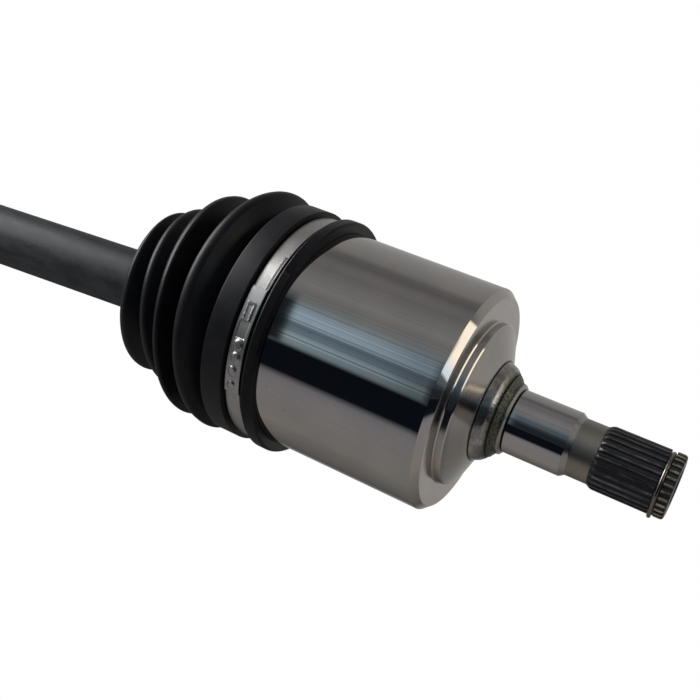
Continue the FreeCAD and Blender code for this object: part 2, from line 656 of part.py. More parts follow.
def outer_joint_bell():
    body = new_body("outer_joint_bell")
    points = [
        ("bell_mouth", "0"),
        ("bell_mouth", "bell_radius - mouth_bevel"),
        ("bell_mouth - mouth_bevel", "bell_radius"),
        ("-bell_straight", "bell_radius"),
        ("-bell_waist_station", "bell_waist_radius"),
        ("-shoulder_station", "shoulder_radius"),
        ("-shoulder_station", "pilot_radius"),
        ("-" + PILOT_END, "pilot_radius"),
        ("-" + PILOT_END, "hub_spline_radius"),
        ("-" + HUB_SPLINE_END, "hub_spline_radius"),
        ("-" + HUB_SPLINE_END, "thread_relief_radius"),
        ("-" + THREAD_START, "thread_relief_radius"),
        ("-" + THREAD_START, "thread_radius"),
        ("-" + THREAD_END + " + stub_chamfer", "thread_radius"),
        ("-" + THREAD_END, "thread_radius - stub_chamfer"),
        ("-" + THREAD_END, "0"),
    ]
    turned(body, "bell_outside", points)
    length = "hub_spline_length - stub_chamfer"
    spline_teeth(
        body, "hub_spline", "hub_spline_root", "hub_spline_radius",
        "-" + HUB_SPLINE_END, length, True, "hub_spline_teeth",
    )
    rim = "sqrt(bell_sphere ^ 2 - bell_rim_station ^ 2)"
    floor = "sqrt(bell_sphere ^ 2 - bell_floor ^ 2)"
    points = [
        ("bell_mouth", "0"),
        ("bell_mouth", "bell_rim_radius"),
        ("bell_rim_station", rim),
        ("0", "bell_sphere"),
        ("-bell_floor", floor),
        ("-bell_floor", "0"),
    ]
    turned(body, "bell_bore", points, {2: ("bell_sphere", 1), 3: ("bell_sphere", 1)}, cut=True)
    ball_tracks(body, "bell_track", "bell_track_angle")
    on_ball_joint(body)
    return body


def ball_tracks(body, name, angle):
    """Round-bottomed tracks whose middle lines are arcs about the joint's centre."""
    sketch = body.newObject("Sketcher::SketchObject", name + "_outline")
    sketch.AttachmentSupport = (origin_feature(body, "YZ_Plane"), [""])
    sketch.MapMode = "FlatFace"
    circle = Part.Circle(Vector(0, number("ball_pitch"), 0), Vector(0, 0, 1), number(TRACK_TUBE))
    sketch.addGeometry(circle, False)
    sketch.addConstraint(Sketcher.Constraint("PointOnObject", 0, 3, -2))
    pitch = sketch.addConstraint(Sketcher.Constraint("DistanceY", -1, 1, 0, 3, number("ball_pitch")))
    sketch.setExpression("Constraints[%d]" % pitch, bound("ball_pitch"))
    radius = sketch.addConstraint(Sketcher.Constraint("Radius", 0, number(TRACK_TUBE)))
    sketch.setExpression("Constraints[%d]" % radius, bound(TRACK_TUBE))
    track = body.newObject("PartDesign::Groove", name)
    track.Profile = sketch
    track.ReferenceAxis = (sketch, ["H_Axis"])
    track.Midplane = True
    track.Angle = number(angle)
    track.setExpression("Angle", bound(angle))
    around_axis(body, name + "s", track, "ball_count")


def inner_race():
    body = new_body("inner_race")
    edge = "sqrt(%s ^ 2 - race_half_width ^ 2)" % RACE_SPHERE
    points = [
        ("-race_half_width", BAR_BORE),
        ("race_half_width", BAR_BORE),
        ("race_half_width", edge),
        ("-race_half_width", edge),
    ]
    turned(body, "race", points, {2: (RACE_SPHERE, 1)})
    ball_tracks(body, "race_track", "race_track_angle")
    on_ball_joint(body)
    return body


def ball_cage():
    body = new_body("ball_cage")
    inside = "sqrt(%s ^ 2 - cage_half_width ^ 2)" % CAGE_INSIDE
    outside = "sqrt(%s ^ 2 - cage_half_width ^ 2)" % CAGE_OUTSIDE
    points = [
        ("-cage_half_width", inside),
        ("cage_half_width", inside),
        ("cage_half_width", outside),
        ("-cage_half_width", outside),
    ]
    turned(body, "cage", points, {0: (CAGE_INSIDE, -1), 2: (CAGE_OUTSIDE, 1)})
    half_width = "(joint_ball_radius + window_gap)"
    points = [
        ("-" + half_width, "-window_half_length"),
        (half_width, "-window_half_length"),
        (half_width, "window_half_length"),
        ("-" + half_width, "window_half_length"),
    ]
    sketch = outline(body, "window_outline", "XY_Plane", points)
    window = pocket(body, "window", sketch, "bell_sphere", True)
    around_axis(body, "windows", window, "ball_count")
    on_ball_joint(body)
    return body


def joint_balls():
    """The balls, one at the middle of each window."""
    balls = []
    for index in range(int(number("ball_count"))):
        ball = doc.addObject("Part::Sphere", "ball_%d" % index)
        turn = "(%d * 360 / ball_count)" % index
        ball.setExpression("Radius", bound("joint_ball_radius"))
        ball.setExpression("Placement.Base.y", bound("-ball_pitch * sin(%s)" % turn))
        ball.setExpression("Placement.Base.z", bound("ball_pitch * cos(%s)" % turn))
        balls.append(ball)
    group = doc.addObject("Part::Compound", "joint_balls")
    group.Links = balls
    group.Label = "joint_balls"
    on_ball_joint(group)
    return group


def fold(body, name, middle, crown, near, far, share):
    """One fold of a boot: two flanks and a flat crown, turned round an axis that has its share of
    the bend. Each flank runs on past its valley, through the wall of the next fold."""

    def beyond(valley):
        """The flank's end, past the valley by a share of the flank's own length."""
        station, radius = valley
        end_x = "(%s + flank_lap * (%s - %s))" % (station, station, middle)
        end_r = "(%s + flank_lap * (%s - %s))" % (radius, radius, crown)
        return end_x, end_r

    near_x, near_r = beyond(near)
    far_x, far_r = beyond(far)
    outside = [
        ("-" + near_x, near_r),
        ("crown_flat - " + middle, crown),
        ("-crown_flat - " + middle, crown),
        ("-" + far_x, far_r),
    ]
    inside = [(station, radius + " - boot_wall") for station, radius in reversed(outside)]
    turned(body, name, outside + inside, role="XZ_Plane", turn=share + " * bend_angle")


def inner_boot():
    body = new_body("inner_boot")
    seat = "(housing_radius + boot_gap)"
    seat_end = SEAT_START + " - seat_width"
    lip = INNER_SEAT + " + lip_height"
    collar = INNER_SEAT + " + collar_height"
    valley_x, valley_r = VALLEYS[0]
    step = "-housing_depth - boot_gap"
    points = [
        ("-" + LIP_END, seat),
        ("-" + LIP_END, lip + " - lip_bevel"),
        ("-%s - lip_bevel" % LIP_END, lip),
        (SEAT_START + " + seat_slope", lip),
        (SEAT_START, INNER_SEAT),
        (seat_end, INNER_SEAT),
        (seat_end + " - seat_slope", collar),
        ("-housing_depth - collar_overhang", collar),
        ("-housing_depth - collar_overhang - seat_slope", valley_r),
        ("-%s - valley_lap" % valley_x, valley_r),
        ("-%s - valley_lap" % valley_x, valley_r + " - boot_wall"),
        (step, valley_r + " - boot_wall"),
        (step, seat),
    ]
    turned(body, "boot_collar", points)
    for index, (name, middle, crown, share) in enumerate(FOLDS):
        fold(body, name, middle, crown, VALLEYS[index], VALLEYS[index + 1], share)
    inside = "(bar_radius + boot_gap)"
    far_x, far_r = VALLEYS[-1]
    points = [
        ("valley_lap - " + far_x, far_r),
        ("-" + far_x, far_r),
        ("-%s - valley_lap" % SLEEVE_START, SLEEVE_RADIUS),
        ("-" + SLEEVE_END, SLEEVE_RADIUS),
        ("-" + SLEEVE_END, inside),
        ("-" + SLEEVE_START, inside),
        ("valley_lap - " + far_x, far_r + " - boot_wall"),
    ]
    turned(body, "boot_sleeve", points, role="XZ_Plane", turn="bend_angle")
    on_housing(body)
    return body


def outer_boot():
    body = new_body("outer_boot")
    seat = "(bell_radius + boot_gap)"
    inside = "(bar_radius + boot_gap)"
    fold_count = 5
    first_x = "(bell_mouth + outer_fold_start)"
    last_x = "(outer_sleeve_start - sleeve_taper)"
    pitch = "((%s - %s) / %d)" % (last_x, first_x, fold_count)
    drop = "((%s - %s - outer_last_height) / %d)" % (OUTER_SEAT, SLEEVE_RADIUS, fold_count)
    collar = OUTER_SEAT + " + outer_collar_height"
    outer = [
        ("-outer_edge", seat),
        ("-outer_edge", OUTER_SEAT + " + outer_lip_height"),
        ("outer_lip_width - outer_edge", OUTER_SEAT + " + outer_lip_height"),
        (OUTER_SEAT_START, OUTER_SEAT),
        (OUTER_SEAT_END, OUTER_SEAT),
        (OUTER_SEAT_END + " + outer_slope", collar),
        ("bell_mouth - outer_slope", collar),
    ]
    inner = []
    for index in range(fold_count):
        station = "%s + %d * %s" % (first_x, index, pitch)
        valley = "%s - outer_valley_drop - %d * %s" % (OUTER_SEAT, index, drop)
        peak = "%s + outer_crown_rise - (%d + 1 / 2) * %s" % (OUTER_SEAT, index, drop)
        middle = station + " + %s / 2" % pitch
        outer += [
            (station, valley),
            (middle + " - crown_flat", peak),
            (middle + " + crown_flat", peak),
        ]
        inner += [
            (station, valley + " - boot_wall"),
            (middle + " - crown_flat", peak + " - boot_wall"),
            (middle + " + crown_flat", peak + " - boot_wall"),
        ]
    outer += [
        (last_x, SLEEVE_RADIUS + " + sleeve_step"),
        ("outer_sleeve_start", SLEEVE_RADIUS),
        ("outer_sleeve_end", SLEEVE_RADIUS),
        ("outer_sleeve_end", inside),
        (last_x, inside),
    ]
    closing = [
        ("bell_mouth + boot_gap", OUTER_SEAT + " - outer_valley_drop - boot_wall"),
        ("bell_mouth + boot_gap", seat),
    ]
    turned(body, "outer_boot_wall", outer + inner[::-1] + closing)
    on_ball_joint(body)
    return body


def band_clamp(label, middle, seat_radius, width, place):
    """A low flat clamp: a closed band, a lapped end over it and four pressed hooks."""
    body = new_body(label)
    low = "%s - %s / 2" % (middle, width)
    high = "%s + %s / 2" % (middle, width)
    inside = "(%s + clamp_gap)" % seat_radius
    top = "(%s + band_thickness)" % inside
    lap_top = "(%s + band_thickness)" % top
    points = [(low, inside), (high, inside), (high, top), (low, top)]
    turned(body, label + "_band", points)
    points = [
        (low, inside + " + band_thickness / 2"),
        (high, inside + " + band_thickness / 2"),
        (high, lap_top),
        (low, lap_top),
    ]
    turned(body, label + "_lap", points, role="XZ_Plane", angle="lap_angle", midplane=True)
    points = [
        (low + " + band_thickness", top),
        (high + " - band_thickness", top),
        (high + " - band_thickness", lap_top + " + hook_height - band_thickness / 2"),
        (low + " + band_thickness", lap_top + " + hook_height - band_thickness / 2"),
    ]
    hook = turned(
        body, label + "_hook", points, role="XZ_Plane", angle="hook_angle", midplane=True
    )
    around_axis(body, label + "_hooks", hook, "hook_count", angle="hook_spread")
    place(body)
    return body


def on_housing_turned(item):
    on_housing(item, turn="clamp_turn")


parts = [
    axle_bar(),
    tripod_spider(),
    inner_joint_housing(),
    inner_boot(),
    outer_joint_bell(),
    inner_race(),
    ball_cage(),
    joint_balls(),
    outer_boot(),
    retaining_ring(
        "output_circlip", CIRCLIP_MIDDLE, "circlip_width", "circlip_groove_radius",
        "circlip_radius", on_housing,
    ),
    retaining_ring(
        "spider_retaining_ring", "(hub_half_length + slip_gap + ring_side_gap + ring_width / 2)",
        "ring_width", "ring_groove_radius", "ring_radius", on_bar,
    ),
    retaining_ring(
        "race_retaining_ring", "-(race_half_width + slip_gap + ring_side_gap + ring_width / 2)",
        "ring_width", "ring_groove_radius", "ring_radius", on_ball_joint,
    ),
    band_clamp(
        "inner_boot_large_clamp", CLAMP_SEAT_MIDDLE, INNER_SEAT, "band_width", on_housing_turned
    ),
    band_clamp(
        "outer_boot_large_clamp", "(%s + %s) / 2" % (OUTER_SEAT_START, OUTER_SEAT_END), OUTER_SEAT,
        "band_width", on_ball_joint,
    ),
    band_clamp("inner_boot_small_clamp", SLEEVE_MIDDLE, SLEEVE_RADIUS, "small_band_width", on_bar),
    band_clamp(
        "outer_boot_small_clamp", "(outer_sleeve_start + outer_sleeve_end) / 2", SLEEVE_RADIUS,
        "small_band_width", on_ball_joint,
    ),
]
for ending, direction, shift in ROLLER_PLACES:
    parts.append(roller_inner_ring(ending, direction, shift))
    parts.append(needle_set(ending, direction, shift))
    parts.append(roller_outer_ring(ending, direction, shift))

doc.recompute()

for item in doc.Objects:
    if "Invalid" in item.State or "Error" in item.State:
        raise SystemExit("%s is %s" % (item.Label, item.State))
for item in parts:
    if item.Shape.isNull() or not item.Shape.isValid():
        raise SystemExit("%s has no valid shape" % item.Label)

os.makedirs("parts", exist_ok=True)
for item in parts:
    item.Shape.exportStep(os.path.join("parts", item.Label + ".step"))
    box = item.Shape.BoundBox
    print(
        "%-26s solids %3d  volume %10.1f  x %8.2f %8.2f  z %7.2f %7.2f"
        % (item.Label, len(item.Shape.Solids), item.Shape.Volume, box.XMin, box.XMax, box.ZMin, box.ZMax)
    )
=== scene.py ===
import json
import math
import random

import bmesh
import bpy
from mathutils import Matrix, Vector


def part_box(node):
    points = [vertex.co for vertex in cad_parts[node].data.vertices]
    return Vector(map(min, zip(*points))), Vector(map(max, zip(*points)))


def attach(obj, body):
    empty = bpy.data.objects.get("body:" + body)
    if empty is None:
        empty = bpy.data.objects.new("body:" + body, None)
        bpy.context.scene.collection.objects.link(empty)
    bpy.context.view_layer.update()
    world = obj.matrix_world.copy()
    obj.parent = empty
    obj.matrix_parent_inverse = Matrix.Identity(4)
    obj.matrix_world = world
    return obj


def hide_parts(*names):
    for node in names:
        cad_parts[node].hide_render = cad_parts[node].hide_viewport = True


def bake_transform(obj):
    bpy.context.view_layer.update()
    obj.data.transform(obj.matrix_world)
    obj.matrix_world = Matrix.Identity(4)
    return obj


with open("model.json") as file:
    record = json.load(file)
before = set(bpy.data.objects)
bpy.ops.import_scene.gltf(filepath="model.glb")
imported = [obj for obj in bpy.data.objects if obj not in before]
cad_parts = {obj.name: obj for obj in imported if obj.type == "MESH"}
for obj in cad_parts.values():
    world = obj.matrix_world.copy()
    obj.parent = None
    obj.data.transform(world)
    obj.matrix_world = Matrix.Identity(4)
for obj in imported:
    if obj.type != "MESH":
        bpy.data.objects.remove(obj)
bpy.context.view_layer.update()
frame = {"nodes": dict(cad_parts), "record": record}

# Places and sizes that the pieces share, from the frame where it gives them. Outlines are in
# millimetres: stations along the axis, towards the housing's stub, and radii.

MM = 0.001
MOUNTS = {mount["name"]: mount for mount in frame["record"]["mounts"]}
JOINTS = {joint["name"]: joint for joint in frame["record"]["behaviour"]["joints"]}
OUTBOARD = Vector(MOUNTS["outboard_shoulder"]["axis"])
BEND = math.atan2(-OUTBOARD.z, -OUTBOARD.x)
BALL_JOINT = Vector(JOINTS["outer_tilt"]["pos_m"])
JOINT_DISTANCE = 400 * MM
TRIPOD = BALL_JOINT - OUTBOARD * JOINT_DISTANCE
STUB_END = (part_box("inner_joint_housing")[1].x - TRIPOD.x) / MM

# Inner joint housing, in stations from the tripod centre
OPEN_END = -46.0
CAVITY_END = 37.5
BODY_RADIUS = 46.0
BODY_BORE = 44.8
CHAMFER_START = 39.6
CHAMFER_END = 42.4
CONE_END = 50.4
NECK_END = 60.9
JOURNAL_RADIUS = 12.75
JOURNAL_END = 83.4
UNDERCUT_RADIUS = 11.4
UNDERCUT_END = 93.9
TEETH = 28
TOOTH_TIP = 12.5
TOOTH_ROOT = 11.55
RUN_OUT = 2.5
SPLINE_START = 94.0
GROOVE_START = 117.3
GROOVE_END = 119.5
GROOVE_RADIUS = 10.9
BRASSY_LENGTH = 5.0
SEGMENTS = TEETH * 12

# Boots and their clamps
BOOT_BORE = 13.56
SEAT_RADIUS = 46.15
BAND = 0.66
LARGE_BAND = 6.7
SMALL_BAND = 5.5
SMALL_BAND_BORE = 17.21


def bar_frame(share=1.0):
    """The bar's axis at the tripod centre, with a share of the bend."""
    return Matrix.Translation(TRIPOD) @ Matrix.Rotation(-BEND * share, 4, "Y")


HOUSING_FRAME = Matrix.Translation(TRIPOD)
BALL_FRAME = bar_frame() @ Matrix.Translation((-JOINT_DISTANCE, 0, 0))


# Outlines and meshes

def ease(value):
    """A smooth step from 0 to 1."""
    value = min(1.0, max(0.0, value))
    return value * value * (3 - 2 * value)


def rounded(corners, step=math.radians(9)):
    """A polyline through (x, r, fillet) corners with its corners rounded, as (x, r) pairs."""
    points = []
    for index, (x, r, fillet) in enumerate(corners):
        corner = Vector((x, r))
        if fillet == 0 or index in (0, len(corners) - 1):
            points.append((x, r))
            continue
        before = Vector(corners[index - 1][:2]) - corner
        after = Vector(corners[index + 1][:2]) - corner
        half = before.angle(after) / 2
        reach = min(fillet / math.tan(half), before.length * 0.49, after.length * 0.49)
        radius = reach * math.tan(half)
        bisector = (before.normalized() + after.normalized()).normalized()
        centre = corner + bisector * (radius / math.sin(half))
        first = corner + before.normalized() * reach - centre
        last = corner + after.normalized() * reach - centre
        sweep = first.angle(last)
        side = 1 if first.x * last.y - first.y * last.x > 0 else -1
        count = max(2, int(sweep / step) + 1)
        for k in range(count + 1):
            turn = side * sweep * k / count
            points.append((
                centre.x + first.x * math.cos(turn) - first.y * math.sin(turn),
                centre.y + first.x * math.sin(turn) + first.y * math.cos(turn),
            ))
    return points


def divided(points, longest):
    """The same polyline with long runs cut into pieces no longer than longest."""
    result = [points[0]]
    for (x0, r0), (x1, r1) in zip(points, points[1:]):
        count = max(1, math.ceil(math.hypot(x1 - x0, r1 - r0) / longest))
        result += [(x0 + (x1 - x0) * k / count, r0 + (r1 - r0) * k / count)
                   for k in range(1, count + 1)]
    return result


def distinct(loop):
    """A closed loop without repeated points."""
    kept = [loop[0]]
    for point in loop[1:]:
        if math.dist(point, kept[-1]) > 1e-4:
            kept.append(point)
    if math.dist(kept[0], kept[-1]) < 1e-4:
        kept.pop()
    return kept


def outward(piece):
    """Turns the faces so that their normals point out."""
    work = bmesh.new()
    work.from_mesh(piece.data)
    bmesh.ops.recalc_face_normals(work, faces=work.faces)
    work.to_mesh(piece.data)
    work.free()
    return piece


def mesh_piece(name, vertices, faces, local, materials, indices=None, crease=30):
    """A piece from vertices in metres in the row frame. local keeps the places in the piece's own
    frame, in millimetres, for its materials."""
    mesh = bpy.data.meshes.new(name)
    mesh.from_pydata([tuple(v) for v in vertices], [], faces)
    mesh.validate()
    for material in materials:
        mesh.materials.append(material)
    if indices:
        mesh.polygons.foreach_set("material_index", indices)
    mesh.polygons.foreach_set("use_smooth", [True] * len(mesh.polygons))
    mesh.set_sharp_from_angle(angle=math.radians(crease))
    attribute = mesh.attributes.new("local", "FLOAT_VECTOR", "POINT")
    attribute.data.foreach_set("vector", [c for point in local for c in point])
    mesh.update()
    piece = bpy.data.objects.new(name, mesh)
    bpy.context.scene.collection.objects.link(piece)
    return outward(piece)


def lathe(name, rings, matrix, materials, segments=SEGMENTS, closed=False, choose=None,
          crease=30, shift=None):
    """Turns rings (x, r) in millimetres round the x axis of matrix, which may be a function that
    gives a point's place. r may be a function of the angle. closed joins the last ring to the
    first, otherwise the ends are capped. choose gives a face's material index from its middle x
    and r, and shift a change of radius from a point's x and angle."""
    local = []
    vertices = []
    for x, r in rings:
        for k in range(segments):
            angle = 2 * math.pi * k / segments
            radius = r(angle) if callable(r) else r
            if shift:
                radius += shift(x, angle)
            point = Vector((x, -radius * math.sin(angle), radius * math.cos(angle)))
            local.append(tuple(point))
            vertices.append(matrix(point) if callable(matrix) else matrix @ (point * MM))
    faces = []
    indices = []
    pairs = list(zip(range(len(rings)), range(1, len(rings))))
    if closed:
        pairs.append((len(rings) - 1, 0))
    for a, b in pairs:
        middle_x = (rings[a][0] + rings[b][0]) / 2
        ra, rb = (ring[1](0) if callable(ring[1]) else ring[1] for ring in (rings[a], rings[b]))
        index = choose(middle_x, (ra + rb) / 2) if choose else 0
        for k in range(segments):
            n = (k + 1) % segments
            faces.append((a * segments + k, a * segments + n, b * segments + n, b * segments + k))
            indices.append(index)
    if not closed:
        for ring, order in ((0, -1), (len(rings) - 1, 1)):
            faces.append(tuple(ring * segments + k for k in range(segments))[::order])
            indices.append(choose(rings[ring][0], 0) if choose else 0)
    return mesh_piece(name, vertices, faces, local, materials, indices, crease)


# Materials

SOCKETS = {"roughness": "Roughness", "specular": "Specular IOR Level"}


class Nodes:
    """A material's node tree, with short calls for the nodes that the finishes use."""

    def __init__(self, name):
        self.material = bpy.data.materials.new(name)
        self.material.use_nodes = True
        self.tree = self.material.node_tree
        self.shader = self.tree.nodes["Principled BSDF"]

    def add(self, kind, **settings):
        node = self.tree.nodes.new(kind)
        for key, value in settings.items():
            setattr(node, key, value)
        return node

    def link(self, source, target):
        self.tree.links.new(source, target)

    def local(self):
        """A point's place in the piece's own frame, in millimetres."""
        return self.add("ShaderNodeAttribute", attribute_name="local").outputs["Vector"]

    def split(self, vector):
        """The three parts of a vector."""
        node = self.add("ShaderNodeSeparateXYZ")
        self.link(vector, node.inputs[0])
        return node.outputs

    def radius(self, y, z):
        """The distance from the x axis."""
        squares = self.math("ADD", self.math("POWER", y, 2.0), self.math("POWER", z, 2.0))
        return self.math("SQRT", squares)

    def place(self, local=True, scale=(1, 1, 1)):
        """Millimetre coordinates: the piece's own, or the row frame's."""
        source = self.local() if local else self.add("ShaderNodeTexCoord").outputs["Object"]
        mapping = self.add("ShaderNodeMapping")
        factor = 1 if local else 1000
        mapping.inputs["Scale"].default_value = [s * factor for s in scale]
        self.link(source, mapping.inputs["Vector"])
        return mapping.outputs["Vector"]

    def turned(self, scale, width=0.25):
        """Coordinates whose first part runs along a turned outline of the piece."""
        x, y, z = self.split(self.local())
        run = self.math("ADD", x, self.math("MULTIPLY", self.radius(y, z), 0.8))
        whole = self.add("ShaderNodeCombineXYZ")
        self.link(self.math("MULTIPLY", run, scale), whole.inputs[0])
        self.link(self.math("MULTIPLY", y, width), whole.inputs[1])
        self.link(self.math("MULTIPLY", z, width), whole.inputs[2])
        return whole.outputs[0]

    def noise(self, vector, scale, detail=4.0, roughness=0.55):
        node = self.add("ShaderNodeTexNoise")
        node.inputs["Scale"].default_value = scale
        node.inputs["Detail"].default_value = detail
        node.inputs["Roughness"].default_value = roughness
        self.link(vector, node.inputs["Vector"])
        return node.outputs["Fac"]

    def ramp(self, source, stops):
        """A colour or a value by stops of (position, colour or value)."""
        node = self.add("ShaderNodeValToRGB")
        ramp = node.color_ramp
        while len(ramp.elements) < len(stops):
            ramp.elements.new(0.5)
        for element, (position, tone) in zip(ramp.elements, stops):
            element.position = position
            element.color = (*tone, 1) if isinstance(tone, tuple) else (tone, tone, tone, 1)
        self.link(source, node.inputs["Fac"])
        return node.outputs["Color"]

    def mix(self, factor, first, second, mode="MIX"):
        node = self.add("ShaderNodeMix", data_type="RGBA", blend_type=mode)
        factor_socket, first_socket, second_socket = node.inputs[0], node.inputs[6], node.inputs[7]
        for value, socket in ((factor, factor_socket), (first, first_socket),
                              (second, second_socket)):
            if isinstance(value, bpy.types.NodeSocket):
                self.link(value, socket)
            elif isinstance(value, tuple):
                socket.default_value = (*value, 1)
            else:
                socket.default_value = value
        return node.outputs[2]

    def math(self, operation, first, second=0.0):
        node = self.add("ShaderNodeMath", operation=operation)
        for value, socket in zip((first, second), node.inputs):
            if isinstance(value, bpy.types.NodeSocket):
                self.link(value, socket)
            else:
                socket.default_value = value
        return node.outputs[0]

    def line(self, source, slope, start):
        """slope * source + start."""
        return self.math("ADD", self.math("MULTIPLY", source, slope), start)

    def bump(self, height, strength, distance=0.1 * MM):
        node = self.add("ShaderNodeBump")
        node.inputs["Strength"].default_value = strength
        node.inputs["Distance"].default_value = distance
        self.link(height, node.inputs["Height"])
        self.link(node.outputs["Normal"], self.shader.inputs["Normal"])

    def dot(self, vector, other):
        node = self.add("ShaderNodeVectorMath", operation="DOT_PRODUCT")
        node.inputs[1].default_value = other
        self.link(vector, node.inputs[0])
        return node.outputs["Value"]

    def finish(self, colour, rough=None, metallic=0.0, **fixed):
        """Links colour and roughness, sets the constant values and returns the material."""
        self.link(colour, self.shader.inputs["Base Color"])
        if rough is not None:
            self.link(rough, self.shader.inputs["Roughness"])
        self.shader.inputs["Metallic"].default_value = metallic
        for key, value in fixed.items():
            self.shader.inputs[SOCKETS[key]].default_value = value
        return self.material

    def camera_white(self, shader, white, output):
        """Shows the white shader to the camera's own rays and the other to all the rest."""
        path = self.add("ShaderNodeLightPath")
        blend = self.add("ShaderNodeMixShader")
        self.link(path.outputs["Is Camera Ray"], blend.inputs[0])
        self.link(shader.outputs[0], blend.inputs[1])
        self.link(white.outputs[0], blend.inputs[2])
        self.link(blend.outputs[0], output.inputs["Surface"])


class WorldNodes(Nodes):
    """The world's node tree, with the same short calls."""

    def __init__(self, world):
        world.use_nodes = True
        self.tree = world.node_tree
        self.tree.nodes.clear()


def steel(name, colour, low, high, local=True, grain=0.12, tint=(1.06, 1.0, 0.93), relief=0.06,
          pits=0.0):
    """Machined steel: fine rings round the axis, faint stains, a few scratches and tiny pits. Its
    roughness lies between low and high."""
    n = Nodes(name)
    rings_per_mm = 7.0
    around = n.turned(rings_per_mm) if local else n.place(False, (rings_per_mm, 0.25, 0.25))
    rings = n.noise(around, 1.0, 3)
    stain = n.noise(n.place(local), 0.06, 5)
    lines = n.noise(n.place(local, (0.12, 2.4, 2.4)), 1.0, 2)
    dull = tuple(c * 0.9 for c in colour)
    warm = tuple(c * t for c, t in zip(colour, tint))
    tone = n.ramp(stain, [(0.3, dull), (0.7, warm)])
    dark = tuple(c * 0.72 for c in colour)
    tone = n.mix(n.ramp(rings, [(0.35, 0.0), (0.75, grain)]), tone, dark)
    scratches = n.ramp(lines, [(0.70, 0.0), (0.735, 1.0), (0.75, 0.0)])
    tone = n.mix(n.math("MULTIPLY", scratches, 0.06), tone, (0.9, 0.9, 0.9))
    if pits:
        spots = n.noise(n.place(local, (0.5, 0.9, 0.9)), 0.9, 2)
        tone = n.mix(n.ramp(spots, [(0.755, 0.0), (0.765, pits)]), tone, (0.02, 0.02, 0.02))
    n.bump(n.math("ADD", rings, n.math("MULTIPLY", scratches, 0.2)), relief)
    return n.finish(tone, n.line(rings, high - low, low), 1.0)


def neck_steel(name):
    """The neck: a dark turned zone with a worn sheen, then a rough forged ring with a bright edge.
    Thin near-black lines of painted shade lie in the grooves between them."""
    n = Nodes(name)
    start, length = 50.0, 12.0
    x = n.split(n.local())[0]
    share = n.math("DIVIDE", n.math("SUBTRACT", x, start), length)
    forged = n.ramp(share, [(0.40, 0.0), (0.47, 1.0), (0.75, 1.0), (0.79, 0.0)])
    edge = n.ramp(share, [(0.78, 0.0), (0.795, 1.0), (0.835, 1.0), (0.84, 0.0)])
    # Painted shade: near-black lines laid over the three grooves, at the cone's edge, between the
    # two zones and before the journal.
    groove_shade = n.ramp(share, [(0.03, 0.0), (0.038, 0.9), (0.055, 0.9), (0.068, 0.0),
                          (0.475, 0.0), (0.49, 0.8), (0.51, 0.8), (0.53, 0.0),
                          (0.85, 0.0), (0.865, 1.0), (0.895, 1.0), (0.905, 0.0)])
    lumps = n.noise(n.place(), 1.5, 6, 0.7)
    lines = n.noise(n.place(True, (5.0, 0.5, 0.5)), 1.0, 3)
    cloud = n.noise(n.place(), 0.16, 3)
    turned = n.ramp(cloud, [(0.38, (0.30, 0.30, 0.31)), (0.62, (0.58, 0.54, 0.46))])
    turned = n.mix(n.ramp(lines, [(0.45, 0.0), (0.62, 0.5)]), turned, (0.12, 0.115, 0.10))
    turned = n.mix(n.ramp(lumps, [(0.58, 0.0), (0.68, 0.35)]), turned, (0.08, 0.075, 0.07))
    skin = n.ramp(lumps, [(0.40, (0.045, 0.043, 0.036)), (0.62, (0.27, 0.255, 0.205))])
    tone = n.mix(forged, turned, skin)
    tone = n.mix(edge, tone, (0.50, 0.485, 0.45))
    # The grooves are darkened here as painted shade.
    tone = n.mix(groove_shade, tone, (0.012, 0.011, 0.010))
    matt = n.line(n.math("ADD", forged, groove_shade), 0.2, 0.14)
    rough = n.math("ADD", matt, n.math("MULTIPLY", lumps, 0.14))
    relief = n.math("MULTIPLY", lumps, n.math("ADD", forged, 0.08))
    n.bump(n.math("ADD", relief, n.math("MULTIPLY", lines, 0.12)), 0.22, 0.35 * MM)
    return n.finish(tone, rough, 0.95)


def spline_steel(name):
    """Dark oil-blacked teeth, worn bright along their tips, brassy past the circlip."""
    n = Nodes(name)
    x, y, z = n.split(n.local())
    wear = n.noise(n.place(True, (0.22, 1, 1)), 0.8, 5, 0.65)
    rise = n.math("SUBTRACT", n.radius(y, z), TOOTH_ROOT)
    height = n.math("DIVIDE", rise, TOOTH_TIP - TOOTH_ROOT)
    tips = n.math("MULTIPLY", n.ramp(height, [(0.75, 0.0), (0.98, 1.0)]),
                  n.ramp(wear, [(0.42, 0.0), (0.66, 1.0)]))
    tone = n.mix(wear, (0.035, 0.035, 0.038), (0.085, 0.083, 0.085))
    tone = n.mix(n.math("MULTIPLY", tips, 0.6), tone, (0.30, 0.29, 0.30))
    past = n.math("GREATER_THAN", x, STUB_END - BRASSY_LENGTH)
    brass = n.math("MULTIPLY", past, n.ramp(height, [(0.6, 0.0), (0.85, 1.0)]))
    brass = n.math("MULTIPLY", brass, n.ramp(wear, [(0.40, 0.1), (0.55, 0.95)]))
    tone = n.mix(brass, tone, (0.50, 0.44, 0.30))
    n.bump(wear, 0.25, 0.2 * MM)
    return n.finish(tone, n.ramp(wear, [(0.3, 0.42), (0.7, 0.26)]), 0.85)


def bar_paint(name):
    """Satin black paint with mottled wear and tiny pale specks."""
    n = Nodes(name)
    mottle = n.noise(n.place(False, (0.3, 1, 1)), 0.25, 5)
    fine = n.noise(n.place(False), 3.5, 3)
    tone = n.ramp(mottle, [(0.3, (0.010, 0.011, 0.013)), (0.7, (0.024, 0.026, 0.029))])
    specks = n.ramp(n.noise(n.place(False), 1.6, 2, 0.4), [(0.73, 0.0), (0.76, 0.6)])
    tone = n.mix(specks, tone, (0.16, 0.16, 0.15))
    n.bump(fine, 0.18, 0.1 * MM)
    return n.finish(tone, n.ramp(mottle, [(0.3, 0.40), (0.7, 0.54)]), specular=0.15)


